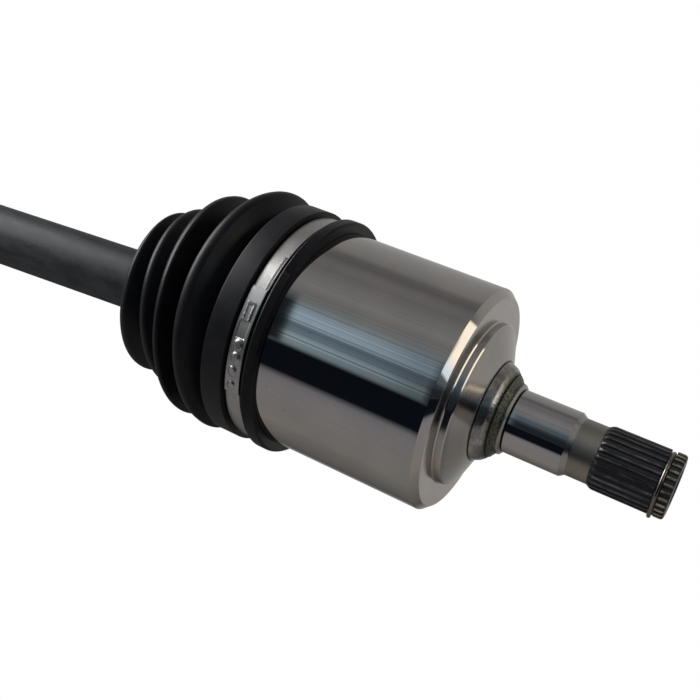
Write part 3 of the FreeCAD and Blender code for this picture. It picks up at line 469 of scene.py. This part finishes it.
def rubber(name):
    """Satin black moulded rubber with a faint bloom."""
    n = Nodes(name)
    cloud = n.noise(n.place(), 0.09, 5)
    tone = n.ramp(cloud, [(0.3, (0.0030, 0.0033, 0.0046)), (0.7, (0.0062, 0.0066, 0.0088))])
    n.bump(n.noise(n.place(), 4.0, 3), 0.10, 0.05 * MM)
    return n.finish(tone, n.ramp(cloud, [(0.3, 0.33), (0.7, 0.43)]), specular=0.2)


def clamp_steel(name):
    """Satin stainless strip, drawn lengthwise."""
    n = Nodes(name)
    grain = n.noise(n.place(True, (9.0, 0.5, 0.5)), 1.0, 3)
    cloud = n.noise(n.place(), 0.15, 3)
    tone = n.ramp(cloud, [(0.3, (0.40, 0.40, 0.385)), (0.7, (0.50, 0.495, 0.48))])
    n.bump(grain, 0.08)
    return n.finish(tone, n.line(grain, 0.14, 0.24), 1.0)


FINISH = {
    "ground": steel("ground_steel", (0.52, 0.51, 0.50), 0.03, 0.05, grain=0.05,
                    tint=(1.04, 1.0, 0.96), relief=0.0, pits=0.8),
    "face": steel("turned_face", (0.51, 0.495, 0.475), 0.12, 0.22, grain=0.25, relief=0.08),
    "shoulder": steel("shoulder_steel", (0.50, 0.485, 0.44), 0.16, 0.26, grain=0.2, relief=0.03),
    "bevel": steel("ground_bevel", (0.62, 0.60, 0.57), 0.04, 0.08, grain=0.05, relief=0.004),
    "journal": steel("journal_steel", (0.55, 0.54, 0.55), 0.03, 0.08, grain=0.06, relief=0.004,
                     pits=0.8),
    "olive": steel("undercut_steel", (0.36, 0.345, 0.305), 0.30, 0.42, grain=0.4),
    "neck": neck_steel("neck_steel"),
    "spline": spline_steel("spline_steel"),
    "rubber": rubber("boot_rubber"),
    "clamp": clamp_steel("clamp_steel"),
    "wire": steel("spring_wire", (0.24, 0.225, 0.20), 0.14, 0.26),
    "bar": bar_paint("bar_paint"),
    "bearing": steel("bearing_steel", (0.56, 0.56, 0.57), 0.1, 0.18, local=False),
    "machined": steel("machined_forging", (0.24, 0.235, 0.23), 0.3, 0.42, local=False, grain=0.3),
    "spring": steel("spring_rings", (0.20, 0.19, 0.18), 0.22, 0.34, local=False),
}


# Inner joint housing

HOUSING_OUTLINE = [
    (OPEN_END, BODY_BORE, 0.0),
    (OPEN_END, BODY_RADIUS, 0.6),
    (CHAMFER_START, BODY_RADIUS, 0.35),
    (CHAMFER_END, 43.4, 0.2),
    # boss with two bevels, and the cone
    (CHAMFER_END, 34.0, 0.1),
    (42.9, 33.5, 0.1),
    (45.3, 33.3, 0.1),
    (45.8, 32.8, 0.1),
    (CONE_END, 20.9, 0.15),
    # groove at the cone's edge, turned zone and forged ring of the neck
    (50.5, 20.2, 0.1),
    (50.8, 20.1, 0.1),
    (50.9, 20.3, 0.1),
    (53.8, 19.1, 2.5),
    (55.6, 17.5, 0.8),
    (55.9, 16.9, 0.1),
    (56.2, 16.8, 0.1),
    (56.4, 16.9, 0.1),
    (58.2, 14.5, 0.8),
    (59.5, 14.3, 0.2),
    (59.7, 14.0, 0.1),
    (60.2, 13.4, 0.1),
    (60.4, 12.5, 0.1),
    (60.8, 12.5, 0.1),
    (NECK_END, JOURNAL_RADIUS, 0.1),
    (JOURNAL_END, JOURNAL_RADIUS, 0.3),
    (85.4, UNDERCUT_RADIUS, 0.9),
    (UNDERCUT_END, UNDERCUT_RADIUS, 0.5),
]

# Finishes along the housing, each up to a station
HOUSING_ZONES = [
    (CHAMFER_START + 0.1, "ground"),
    (CHAMFER_END - 0.01, "bevel"),
    (CHAMFER_END + 0.01, "face"),
    (42.91, "bevel"),
    (45.28, "face"),
    (45.82, "bevel"),
    (CONE_END + 0.02, "face"),
    (NECK_END + 0.05, "neck"),
    (JOURNAL_END, "journal"),
    (85.6, "shoulder"),
    (94.1, "olive"),
    (math.inf, "spline"),
]
HOUSING_FINISHES = ("ground", "face", "neck", "journal", "olive", "spline", "bevel", "shoulder")


def housing_finish(x, r):
    """The index of the housing's finish at a station and radius."""
    if r > BODY_RADIUS - 0.1:
        return 0
    key = next(key for end, key in HOUSING_ZONES if x < end)
    return HOUSING_FINISHES.index(key)


def forged_skin(x, angle):
    """The uneven skin of the neck's forged ring, as a change of radius."""
    start, end = 54.8, 59.6
    if not start < x < end:
        return 0.0
    near = min(1.0, (x - start) / 0.8, (end - x) / 0.5)
    wave = math.sin(angle * 7 + x) * 0.10 + math.sin(angle * 17 - x * 2.1) * 0.07
    seed = round(angle * 1000) * 31 + round(x * 50)
    return near * (wave + random.Random(seed).uniform(-0.06, 0.06) - 0.12)


def tooth_radius(ceiling=None):
    """The spline's section as a function of the angle, twelve steps to the tooth."""
    pattern = [1.0, 1.0, 0.96, 0.6, 0.15, 0.02, 0.0, 0.0, 0.02, 0.15, 0.6, 0.96]

    def radius(angle):
        share = pattern[round(angle / (2 * math.pi) * SEGMENTS) % len(pattern)]
        value = TOOTH_ROOT + (TOOTH_TIP - TOOTH_ROOT) * share
        return value if ceiling is None else min(value, ceiling)

    return radius


def spline_rings():
    """The splined stub: the teeth's run-out, the circlip's groove and the end with its centre."""
    rings = []
    for x in (SPLINE_START, 94.4, 94.8, 95.2, 95.6, 96.0, SPLINE_START + RUN_OUT):
        rise = math.sin((x - SPLINE_START) / RUN_OUT * math.pi / 2)
        rings.append((x, tooth_radius(UNDERCUT_RADIUS + (TOOTH_TIP - UNDERCUT_RADIUS) * rise)))
    rings += [(x, tooth_radius()) for x in (97.5, 102.0, 107.0, 112.0, 116.0, 117.0)]
    rings += [(GROOVE_START, tooth_radius()), (GROOVE_START, GROOVE_RADIUS),
              (GROOVE_END, GROOVE_RADIUS), (GROOVE_END, tooth_radius()),
              (GROOVE_END + 0.3, tooth_radius())]
    end = [(1.9, tooth_radius()), (1.3, tooth_radius(12.3)), (1.0, tooth_radius(12.0)),
           (0.8, tooth_radius(11.5)), (0.7, 10.8), (0.7, 7.4), (1.2, 6.9), (1.2, 5.6),
           (1.9, 4.6), (4.1, 1.2)]
    return rings + [(STUB_END - before, radius) for before, radius in end]


def trefoil(bore):
    """The section of the three tracks and the bore between them, as a function of the angle."""
    half_width = 16.1
    head = 33.6
    third = 2 * math.pi / 3

    def radius(angle):
        turn = (angle + third / 2) % third - third / 2
        side = half_width / max(abs(math.sin(turn)), 1e-6)
        return max(bore, min(side, head / math.cos(turn)))

    return radius


def inner_housing():
    """The round housing with its end face, forged neck, journal, splined stub and tracks."""
    rings = divided(rounded(HOUSING_OUTLINE), 3.0) + spline_rings()
    outer = lathe("inner_housing_body", rings, HOUSING_FRAME,
                  [FINISH[key] for key in HOUSING_FINISHES], choose=housing_finish,
                  shift=forged_skin)
    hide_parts("inner_joint_housing")
    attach(outer, "inner_housing")
    tracks = trefoil(27.0)
    inside = [(CAVITY_END, 2.0), (CAVITY_END, 14.0), (CAVITY_END, tracks), (0.0, tracks),
              (-34.0, tracks), (OPEN_END, trefoil(33.0)), (OPEN_END, BODY_BORE)]
    lining = lathe("inner_housing_tracks", inside, HOUSING_FRAME, [FINISH["face"]])
    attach(lining, "inner_housing")


def output_circlip():
    """The circlip: an open ring of round wire, dropped by its play, with its last end standing
    proud of the teeth."""
    station, radius, wire = 118.4, 11.8, 0.8
    opening, start = math.radians(30), math.radians(180)
    drop, proud = 0.5, 0.9
    around, across = 128, 14
    vertices = []
    local = []
    for k in range(around + 1):
        angle = start + opening / 2 + (2 * math.pi - opening) * k / around
        lift = proud * ease((k / around - 0.93) / 0.07)
        for j in range(across):
            turn = 2 * math.pi * j / across
            r = radius + lift + wire * math.cos(turn)
            point = Vector((station + wire * math.sin(turn), -r * math.sin(angle),
                            r * math.cos(angle) - drop))
            local.append(tuple(point))
            vertices.append(HOUSING_FRAME @ (point * MM))
    faces = [
        (k * across + j, k * across + (j + 1) % across,
         (k + 1) * across + (j + 1) % across, (k + 1) * across + j)
        for k in range(around) for j in range(across)
    ]
    faces.append(tuple(range(across))[::-1])
    faces.append(tuple(around * across + j for j in range(across)))
    circlip = mesh_piece("output_circlip_wire", vertices, faces, local, [FINISH["wire"]],
                         crease=60)
    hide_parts("output_circlip")
    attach(circlip, "inner_housing")


# Boots

# The inner boot's folds lean as the shaft bends. By station: the centre's x and z, the tilt in
# degrees and the bulge of the near side.
FOLD_PLACES = [
    (-51.0, -51.0, 0.0, 0.0, 0.0),
    (-59.5, -59.5, 0.3, 2.3, 5.0),
    (-77.0, -77.0, -3.75, 8.0, 0.0),
    (-90.4, -90.4, -5.3, 11.8, 0.0),
    (-103.0, -103.0, -6.4, 7.2, -1.2),
    (-106.4, -106.19, -6.74, 3.63, 0.0),
    (-114.0, -113.77, -7.22, 3.63, 0.0),
]

# The inner boot's outlines as (x, r, fillet). It is made in two pieces that meet in the valley
# beside its largest fold.
VALLEY = (-69.0, 38.4, 0.0)
HIDDEN_VALLEY = (-69.0, 37.45, 0.0)
HOUSING_END_OUTSIDE = [
    (-26.3, SEAT_RADIUS, 0.0), (-26.3, 50.4, 1.2), (-31.4, 50.4, 0.8), (-32.4, 47.55, 0.3),
    (-40.6, 47.55, 0.3), (-41.0, 50.3, 0.25), (-50.7, 50.3, 0.7), (-51.5, 43.6, 1.2),
    (-53.2, 42.4, 1.4), (-57.9, 52.6, 2.6), (-61.0, 51.6, 2.4), VALLEY,
]
HOUSING_END_INSIDE = [
    HIDDEN_VALLEY, (-60.6, 48.8, 1.0), (-58.8, 49.2, 1.0), (-54.0, 39.6, 1.0),
    (-46.3, 40.6, 0.5), (-46.3, SEAT_RADIUS, 0.0), (-26.3, SEAT_RADIUS, 0.0),
]
BAR_END_OUTSIDE = [
    VALLEY, (-70.8, 38.0, 1.2), (-75.5, 48.1, 2.2), (-78.2, 47.4, 2.2), (-84.6, 34.4, 1.4),
    (-89.1, 39.5, 2.0), (-91.6, 38.7, 2.0), (-96.2, 29.6, 1.4), (-101.6, 35.6, 2.2),
    (-104.0, 34.8, 2.2), (-105.6, 24.0, 1.6), (-106.4, 17.15, 1.0), (-114.0, 17.15, 0.6),
    (-114.0, BOOT_BORE, 0.0),
]
BAR_END_INSIDE = [
    (-104.8, BOOT_BORE, 0.0), (-103.8, 22.0, 1.2), (-102.6, 32.0, 1.2), (-101.8, 32.4, 1.0),
    (-96.2, 26.8, 1.0), (-91.2, 35.6, 1.0), (-89.6, 36.0, 1.0), (-84.6, 31.4, 1.0),
    (-77.7, 44.6, 1.0), (-76.0, 45.2, 1.0), (-71.0, 36.0, 1.0), HIDDEN_VALLEY,
]

# The lip beside the housing is pressed in on the near side, from a station on and round a middle
# direction in degrees
LIP_STATION = -31.0
LIP_RUN = 3.5
LIP_DIRECTION = -12.0
LIP_REACH = 70.0
LIP_FADE = 45.0
LIP_SEAT = 46.2
LIP_SQUEEZE = 0.68
LIP_SHIFT = 1.6


def fold_place(x):
    """The inner boot's centre, tilt and bulge at a station."""
    if x >= FOLD_PLACES[0][0]:
        return x, 0.0, 0.0, 0.0
    for low, high in zip(FOLD_PLACES[1:], FOLD_PLACES):
        if x >= low[0] - 1e-6:
            share = (high[0] - x) / (high[0] - low[0])
            return tuple(a + (b - a) * share for a, b in zip(high[1:], low[1:]))
    return FOLD_PLACES[-1][1:]


def boot_point(point):
    """The place of a point of the inner boot: its fold leans, and on the near side the lip lies
    closer to the housing."""
    centre_x, centre_z, tilt, bulge = fold_place(point.x)
    tilt = math.radians(tilt)
    radius = math.hypot(point.y, point.z)
    near = max(0.0, -point.y / radius) ** 1.5
    side = abs(math.degrees(math.atan2(point.z, -point.y)) - LIP_DIRECTION)
    pressed = ease((point.x - LIP_STATION) / LIP_RUN) * ease((LIP_REACH - side) / LIP_FADE)
    squeeze = 1 - pressed * LIP_SQUEEZE * max(0.0, radius - LIP_SEAT) / radius
    x = centre_x - bulge * near - LIP_SHIFT * pressed - point.z * math.sin(tilt)
    z = centre_z + point.z * squeeze * math.cos(tilt)
    return TRIPOD + Vector((x, point.y * squeeze, z)) * MM


def inner_boot():
    """The inner boot's two pieces, placed by boot_point with their folds leaning."""
    for name, outside, inside, bodies, start, end in (
        ("inner_boot_housing_end", HOUSING_END_OUTSIDE, HOUSING_END_INSIDE,
         ("lower_rollers", "inner_housing"), -68.0, -54.0),
        ("inner_boot_bar_end", BAR_END_OUTSIDE, BAR_END_INSIDE,
         ("shaft", "lower_rollers"), -104.0, -71.0),
    ):
        piece = lathe(name, distinct(rounded(outside) + rounded(inside)), boot_point,
                      [FINISH["rubber"]], segments=256, closed=True, crease=50)
        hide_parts("inner_boot")
        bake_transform(piece)


def outer_boot():
    """The outer boot, in stations from the ball joint's centre: five folds that shrink from the
    bell to the bar."""
    seat = 45.1
    band_seat = 46.55
    sleeve = 17.16
    wall = 3.0
    first, last, folds = 24.0, 82.0, 5
    outside = [
        (-2.0, seat, 0.0), (-2.0, 48.05, 0.8), (0.2, 48.05, 0.6), (1.0, band_seat, 0.4),
        (9.2, band_seat, 0.4), (10.2, 48.55, 0.7), (19.0, 48.55, 0.8),
    ]
    pitch = (last - first) / folds
    drop = (band_seat - sleeve - 4) / folds
    inside = []
    for index in range(folds):
        station = first + index * pitch
        valley = 44.55 - index * drop
        peak = 49.95 - (index + 0.5) * drop
        outside += [(station, valley, 1.2), (station + pitch * 0.3, peak, 2.2),
                    (station + pitch * 0.7, peak, 2.2)]
        inside += [(station, valley - wall, 0.8), (station + pitch * 0.32, peak - wall, 1.4),
                   (station + pitch * 0.68, peak - wall, 1.4)]
    outside += [(last, 20.2, 1.0), (last + 2.0, sleeve, 1.0), (97.0, sleeve, 0.6),
                (97.0, BOOT_BORE, 0.0)]
    inside = [(last, BOOT_BORE, 0.0)] + inside[::-1] + [(20.1, 41.4, 0.5), (20.1, seat, 0.0)]
    piece = lathe("outer_boot_folds", distinct(rounded(outside) + rounded(inside)), BALL_FRAME,
                  [FINISH["rubber"]], segments=224, closed=True, crease=50)
    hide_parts("outer_boot")
    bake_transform(piece)


# Clamps

# Features of a clamp's lock, in millimetres along the band and across it:
# (form, middle along, middle across, half length, half width, height, edge)
LOCK = [
    ("plate", -12.6, 0.0, 21.9, 9.0, 0.64, 0.25),
    ("plate", 16.8, 2.45, 7.7, 0.45, -0.32, 0.16),
    ("plate", 16.8, 1.95, 7.7, 0.35, 0.22, 0.2),
    ("plate", -0.8, -0.1, 3.7, 1.95, 0.60, 0.40),
    ("plate", -0.8, -0.1, 2.9, 1.25, -0.55, 0.3),
    ("plate", -2.0, -0.1, 0.3, 1.3, 0.35, 0.2),
    ("plate", -8.0, -0.2, 3.4, 2.1, -0.3, 0.25),
    ("oval", -13.9, 0.0, 2.55, 2.25, 0.52, 0.42),
    ("oval", -18.9, 0.2, 2.55, 2.15, 0.52, 0.42),
    ("oval", -24.7, -0.2, 2.6, 2.05, 0.52, 0.42),
    ("oval", -31.0, 0.0, 2.5, 1.95, 0.52, 0.42),
]
LOCK_START, LOCK_END = -37.0, 26.0


def lock_height(along, over):
    """The height of a clamp's lock over the plain band."""
    height = 0.0
    for form, middle, side, length, width, rise, edge in LOCK:
        if form == "plate":
            share = min(ease((length - abs(along - middle)) / edge),
                        ease((width - abs(over - side)) / edge))
        else:
            reach = math.hypot((along - middle) / length, (over - side) / width)
            share = ease((1 - reach) / edge)
        height += rise * share
    return height


def band_clamp(node, body, matrix, middle, inside, width, turn):
    """A low flat clamp with a lapped end, a pressed hook and four pressed studs. turn is the angle
    of its lock from the top towards the near side, in degrees."""
    outside = inside + BAND
    half = width / 2
    fine, crown = 260, 28
    # angles, in small steps over the lock and larger ones round the rest
    first = LOCK_START / outside
    steps = [first + (LOCK_END / outside - first) * k / fine for k in range(fine + 1)]
    rest = 2 * math.pi - (steps[-1] - steps[0])
    count = math.ceil(rest / math.radians(2.5))
    steps += [steps[fine] + rest * k / count for k in range(1, count)]
    # the section's outer side: places across the band and how far its edges drop
    section = [(-half, 0.16), (-half + 0.08, 0.05), (-half + 0.2, 0.0)]
    section += [(-half + 0.2 + (width - 0.4) * k / crown, 0.0) for k in range(1, crown)]
    section += [(half - 0.2, 0.0), (half - 0.08, 0.05), (half, 0.16)]
    vertices = []
    local = []
    for step in steps:
        angle = math.radians(turn) - step
        ring = [(-half, inside)]
        for over, drop in section:
            lock = lock_height(step * outside, over) * (0.9 if drop > 0.1 else 1.0)
            ring.append((over, outside - drop + lock))
        ring.append((half, inside))
        for over, r in ring:
            point = Vector((middle + over, -r * math.sin(angle), r * math.cos(angle)))
            local.append(tuple(point))
            vertices.append(matrix @ (point * MM))
    row = len(section) + 2
    total = len(steps)
    faces = [
        (k * row + j, (k + 1) % total * row + j,
         (k + 1) % total * row + (j + 1) % row, k * row + (j + 1) % row)
        for k in range(total) for j in range(row)
    ]
    piece = mesh_piece(node + "_band", vertices, faces, local, [FINISH["clamp"]], crease=32)
    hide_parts(node)
    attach(piece, body)


def clamps():
    """The four band clamps."""
    band_clamp("inner_boot_large_clamp", "inner_housing", HOUSING_FRAME, middle=-36.7,
               inside=47.6, width=LARGE_BAND, turn=90.0)
    band_clamp("outer_boot_large_clamp", "bell", BALL_FRAME, middle=5.1, inside=46.6,
               width=LARGE_BAND, turn=60.0)
    band_clamp("inner_boot_small_clamp", "shaft", bar_frame(), middle=-110.0,
               inside=SMALL_BAND_BORE, width=SMALL_BAND, turn=60.0)
    band_clamp("outer_boot_small_clamp", "shaft", BALL_FRAME, middle=90.5,
               inside=SMALL_BAND_BORE, width=SMALL_BAND, turn=60.0)


# Carried-over nodes

def dress_nodes():
    """Smooth shading and finishes for the nodes that stay as they are."""
    chosen = {"axle_bar": "bar", "outer_joint_bell": "machined", "tripod_spider": "machined",
              "ball_cage": "machined", "spider_retaining_ring": "spring",
              "race_retaining_ring": "spring", "output_circlip": "spring"}
    for name, node in frame["nodes"].items():
        key = chosen.get(name, "clamp" if "clamp" in name else "bearing")
        if "boot" in name and "clamp" not in name:
            key = "rubber"
        mesh = node.data
        mesh.materials.clear()
        mesh.materials.append(FINISH[key])
        mesh.polygons.foreach_set("use_smooth", [True] * len(mesh.polygons))
        mesh.set_sharp_from_angle(angle=math.radians(28))


# Light, floor and camera

# The studio by direction round the shaft, in degrees from the viewer's side (-Y) up towards +Z
SKY = [
    (-180, (0.48, 0.47, 0.46)),
    (-150, (0.11, 0.105, 0.105)),
    (-125, (0.21, 0.20, 0.19)),
    (-105, (0.29, 0.275, 0.26)),
    (-60, (0.29, 0.28, 0.30)),
    (-52, (0.25, 0.25, 0.27)),
    (-45, (0.006, 0.008, 0.012)),
    (-19, (0.005, 0.007, 0.012)),
    (-15, (0.28, 0.37, 0.42)),
    (-6, (0.38, 0.50, 0.57)),
    (-2, (0.20, 0.28, 0.34)),
    (5, (0.18, 0.25, 0.32)),
    (9, (0.44, 0.58, 0.70)),
    (18, (0.44, 0.58, 0.72)),
    (23, (0.30, 0.36, 0.41)),
    (30, (0.25, 0.275, 0.29)),
    (37, (0.245, 0.245, 0.25)),
    (46, (0.29, 0.295, 0.30)),
    (60, (0.25, 0.25, 0.255)),
    (70, (0.21, 0.205, 0.21)),
    (80, (0.22, 0.215, 0.215)),
    (90, (0.155, 0.155, 0.16)),
    (97, (0.175, 0.17, 0.17)),
    (106, (0.29, 0.285, 0.285)),
    (130, (0.35, 0.345, 0.34)),
    (155, (0.39, 0.385, 0.38)),
    (180, (0.48, 0.47, 0.46)),
]


def floor_paper():
    """A pale floor that the camera sees as white and polished steel doesn't mirror."""
    bpy.ops.mesh.primitive_plane_add(size=6, location=(-0.2, 0, -0.30))
    floor = bpy.context.object
    floor.name = "floor"
    n = Nodes("floor_paper")
    grain = n.noise(n.place(False), 0.02, 3)
    n.finish(n.ramp(grain, [(0.3, 0.93), (0.7, 0.95)]), roughness=0.9)
    white = n.add("ShaderNodeEmission")
    n.camera_white(n.shader, white, n.tree.nodes["Material Output"])
    floor.data.materials.append(n.material)
    floor.visible_glossy = False


def strip_lights(n, share, left, spread, tone):
    """The strips of light before the shaft: finely streaked, fading to the right and ended
    towards the boot. share is the direction round the shaft, from 0 to 1, left the direction
    along it, and spread what remains across it."""
    strips = n.ramp(share, [(0.444, 0.0), (0.458, 1.0), (0.567, 1.0), (0.605, 0.0)])
    fine = n.add("ShaderNodeTexNoise", noise_dimensions="1D")
    fine.inputs["Scale"].default_value = 190
    fine.inputs["Detail"].default_value = 3
    n.link(share, fine.inputs["W"])
    swing = n.math("MULTIPLY", n.math("SUBTRACT", fine.outputs[0], 0.5), n.line(strips, 1.3, 0.25))
    tone = n.mix(1.0, tone, n.math("ADD", swing, 1.0), "MULTIPLY")
    bright = n.ramp(share, [(0.444, 0.0), (0.458, 1.0), (0.55, 1.0), (0.585, 0.0)])
    fade = n.ramp(left, [(0.16, 0.24), (0.20, 0.26), (0.29, 0.55), (0.33, 0.74), (0.38, 0.92),
                         (0.42, 1.0)])
    tone = n.mix(bright, tone, n.mix(1.0, tone, fade, "MULTIPLY"))
    lowest = n.ramp(share, [(0.444, 0.0), (0.455, 1.0), (0.49, 1.0), (0.505, 0.0)])
    lowest = n.math("MULTIPLY", lowest, n.ramp(left, [(0.20, 0.8), (0.29, 0.2), (0.33, 0.0)]))
    tone = n.mix(lowest, tone, (0.008, 0.008, 0.011))
    ended = n.ramp(n.math("DIVIDE", left, spread), [(0.4765, 0.0), (0.4810, 1.0)])
    return n.mix(n.math("MULTIPLY", ended, strips), tone, (0.010, 0.011, 0.014))


def far_wall(n, share, left, y, tone):
    """A bright wall far to the left, on the viewer's side."""
    wall = n.ramp(left, [(0.52, 0.0), (0.58, 1.0), (0.88, 1.0), (0.93, 0.0)])
    wall = n.math("MULTIPLY", wall, n.math("LESS_THAN", y, 0.1))
    shade = n.ramp(share, [(0.36, 0.25), (0.52, 0.45), (0.60, 1.0), (0.80, 1.0), (0.92, 0.4)])
    return n.mix(wall, tone, n.mix(1.0, shade, (1.3, 1.27, 1.27), "MULTIPLY"))


def lit_window(n, way, tone):
    """A long window, warm above and bluish below, that shows in the housing's chamfer."""
    centre = Vector((0.857, -0.179, 0.482)).normalized()
    upper, lower = Vector((0.717, 0.093, 0.691)), Vector((0.932, -0.338, 0.128))
    across = upper.cross(lower).normalized()
    along = across.cross(centre).normalized()
    reach = n.dot(way, along)
    lit = n.ramp(n.math("ABSOLUTE", reach), [(0.35, 1.0), (0.38, 0.0)])
    sides = n.ramp(n.math("ABSOLUTE", n.dot(way, across)), [(0.10, 1.0), (0.15, 0.0)])
    lit = n.math("MULTIPLY", lit, sides)
    lit = n.math("MULTIPLY", lit, n.math("GREATER_THAN", n.dot(way, centre), 0.0))
    glow = n.ramp(n.line(reach, 0.5, 0.5),
                  [(0.55, (1.0, 0.93, 0.82)), (0.66, (0.62, 0.74, 0.86))])
    return n.mix(lit, tone, n.mix(1.0, glow, (1.6, 1.6, 1.6), "MULTIPLY"))


def studio_world():
    """The studio that shows in polished steel. The camera itself sees white."""
    world = bpy.data.worlds.new("studio")
    bpy.context.scene.world = world
    n = WorldNodes(world)
    way = n.add("ShaderNodeTexCoord").outputs["Generated"]
    x, y, z = n.split(way)
    turn = n.math("ARCTAN2", z, n.math("MULTIPLY", y, -1.0))
    share = n.math("ADD", n.math("DIVIDE", turn, 2 * math.pi), 0.5)
    left = n.math("MULTIPLY", x, -1.0)
    spread = n.math("SQRT", n.math("SUBTRACT", 1.0, n.math("MULTIPLY", x, x)))
    tone = n.ramp(share, [((degrees + 180) / 360, colour) for degrees, colour in SKY])
    tone = strip_lights(n, share, left, spread, tone)
    tone = far_wall(n, share, left, y, tone)
    tone = lit_window(n, way, tone)
    soft = n.add("ShaderNodeBackground")
    n.link(tone, soft.inputs["Color"])
    white = n.add("ShaderNodeBackground")
    white.inputs["Color"].default_value = (1, 1, 1, 1)
    n.camera_white(soft, white, n.add("ShaderNodeOutputWorld"))


def side_lamp():
    """A soft square lamp at the left, above the boot, that faces the housing."""
    light = bpy.data.lights.new("side", "AREA")
    light.shape = "RECTANGLE"
    light.size = light.size_y = 0.6
    light.energy = 9.0
    item = bpy.data.objects.new("side", light)
    place = Vector((-0.80, -0.35, 0.30))
    item.location = place
    target = Vector((-0.06, 0, 0))
    item.rotation_euler = (target - place).to_track_quat("-Z", "Y").to_euler()
    bpy.context.scene.collection.objects.link(item)


def camera():
    """The photograph's camera, fitted to the housing's rings: close, square to the bend plane and
    rolled."""
    data = bpy.data.cameras.new("photo_camera")
    data.sensor_width = 36
    data.lens = 51.48
    data.clip_start = 0.01
    item = bpy.data.objects.new("photo_camera", data)
    bpy.context.scene.collection.objects.link(item)
    right = Vector((0.857, 0.3404, 0.3869)).normalized()
    back = Vector((0.3697, -0.9291, -0.0016)).normalized()
    up = back.cross(right).normalized()
    place = TRIPOD + Vector((138.0, -379.6, 0)) * MM
    item.matrix_world = Matrix((
        (right.x, up.x, back.x, place.x),
        (right.y, up.y, back.y, place.y),
        (right.z, up.z, back.z, place.z),
        (0, 0, 0, 1),
    ))
    bpy.context.scene.camera = item


bpy.context.scene.view_settings.view_transform = "Standard"
dress_nodes()
inner_housing()
output_circlip()
inner_boot()
outer_boot()
clamps()
floor_paper()
studio_world()
side_lamp()
camera()
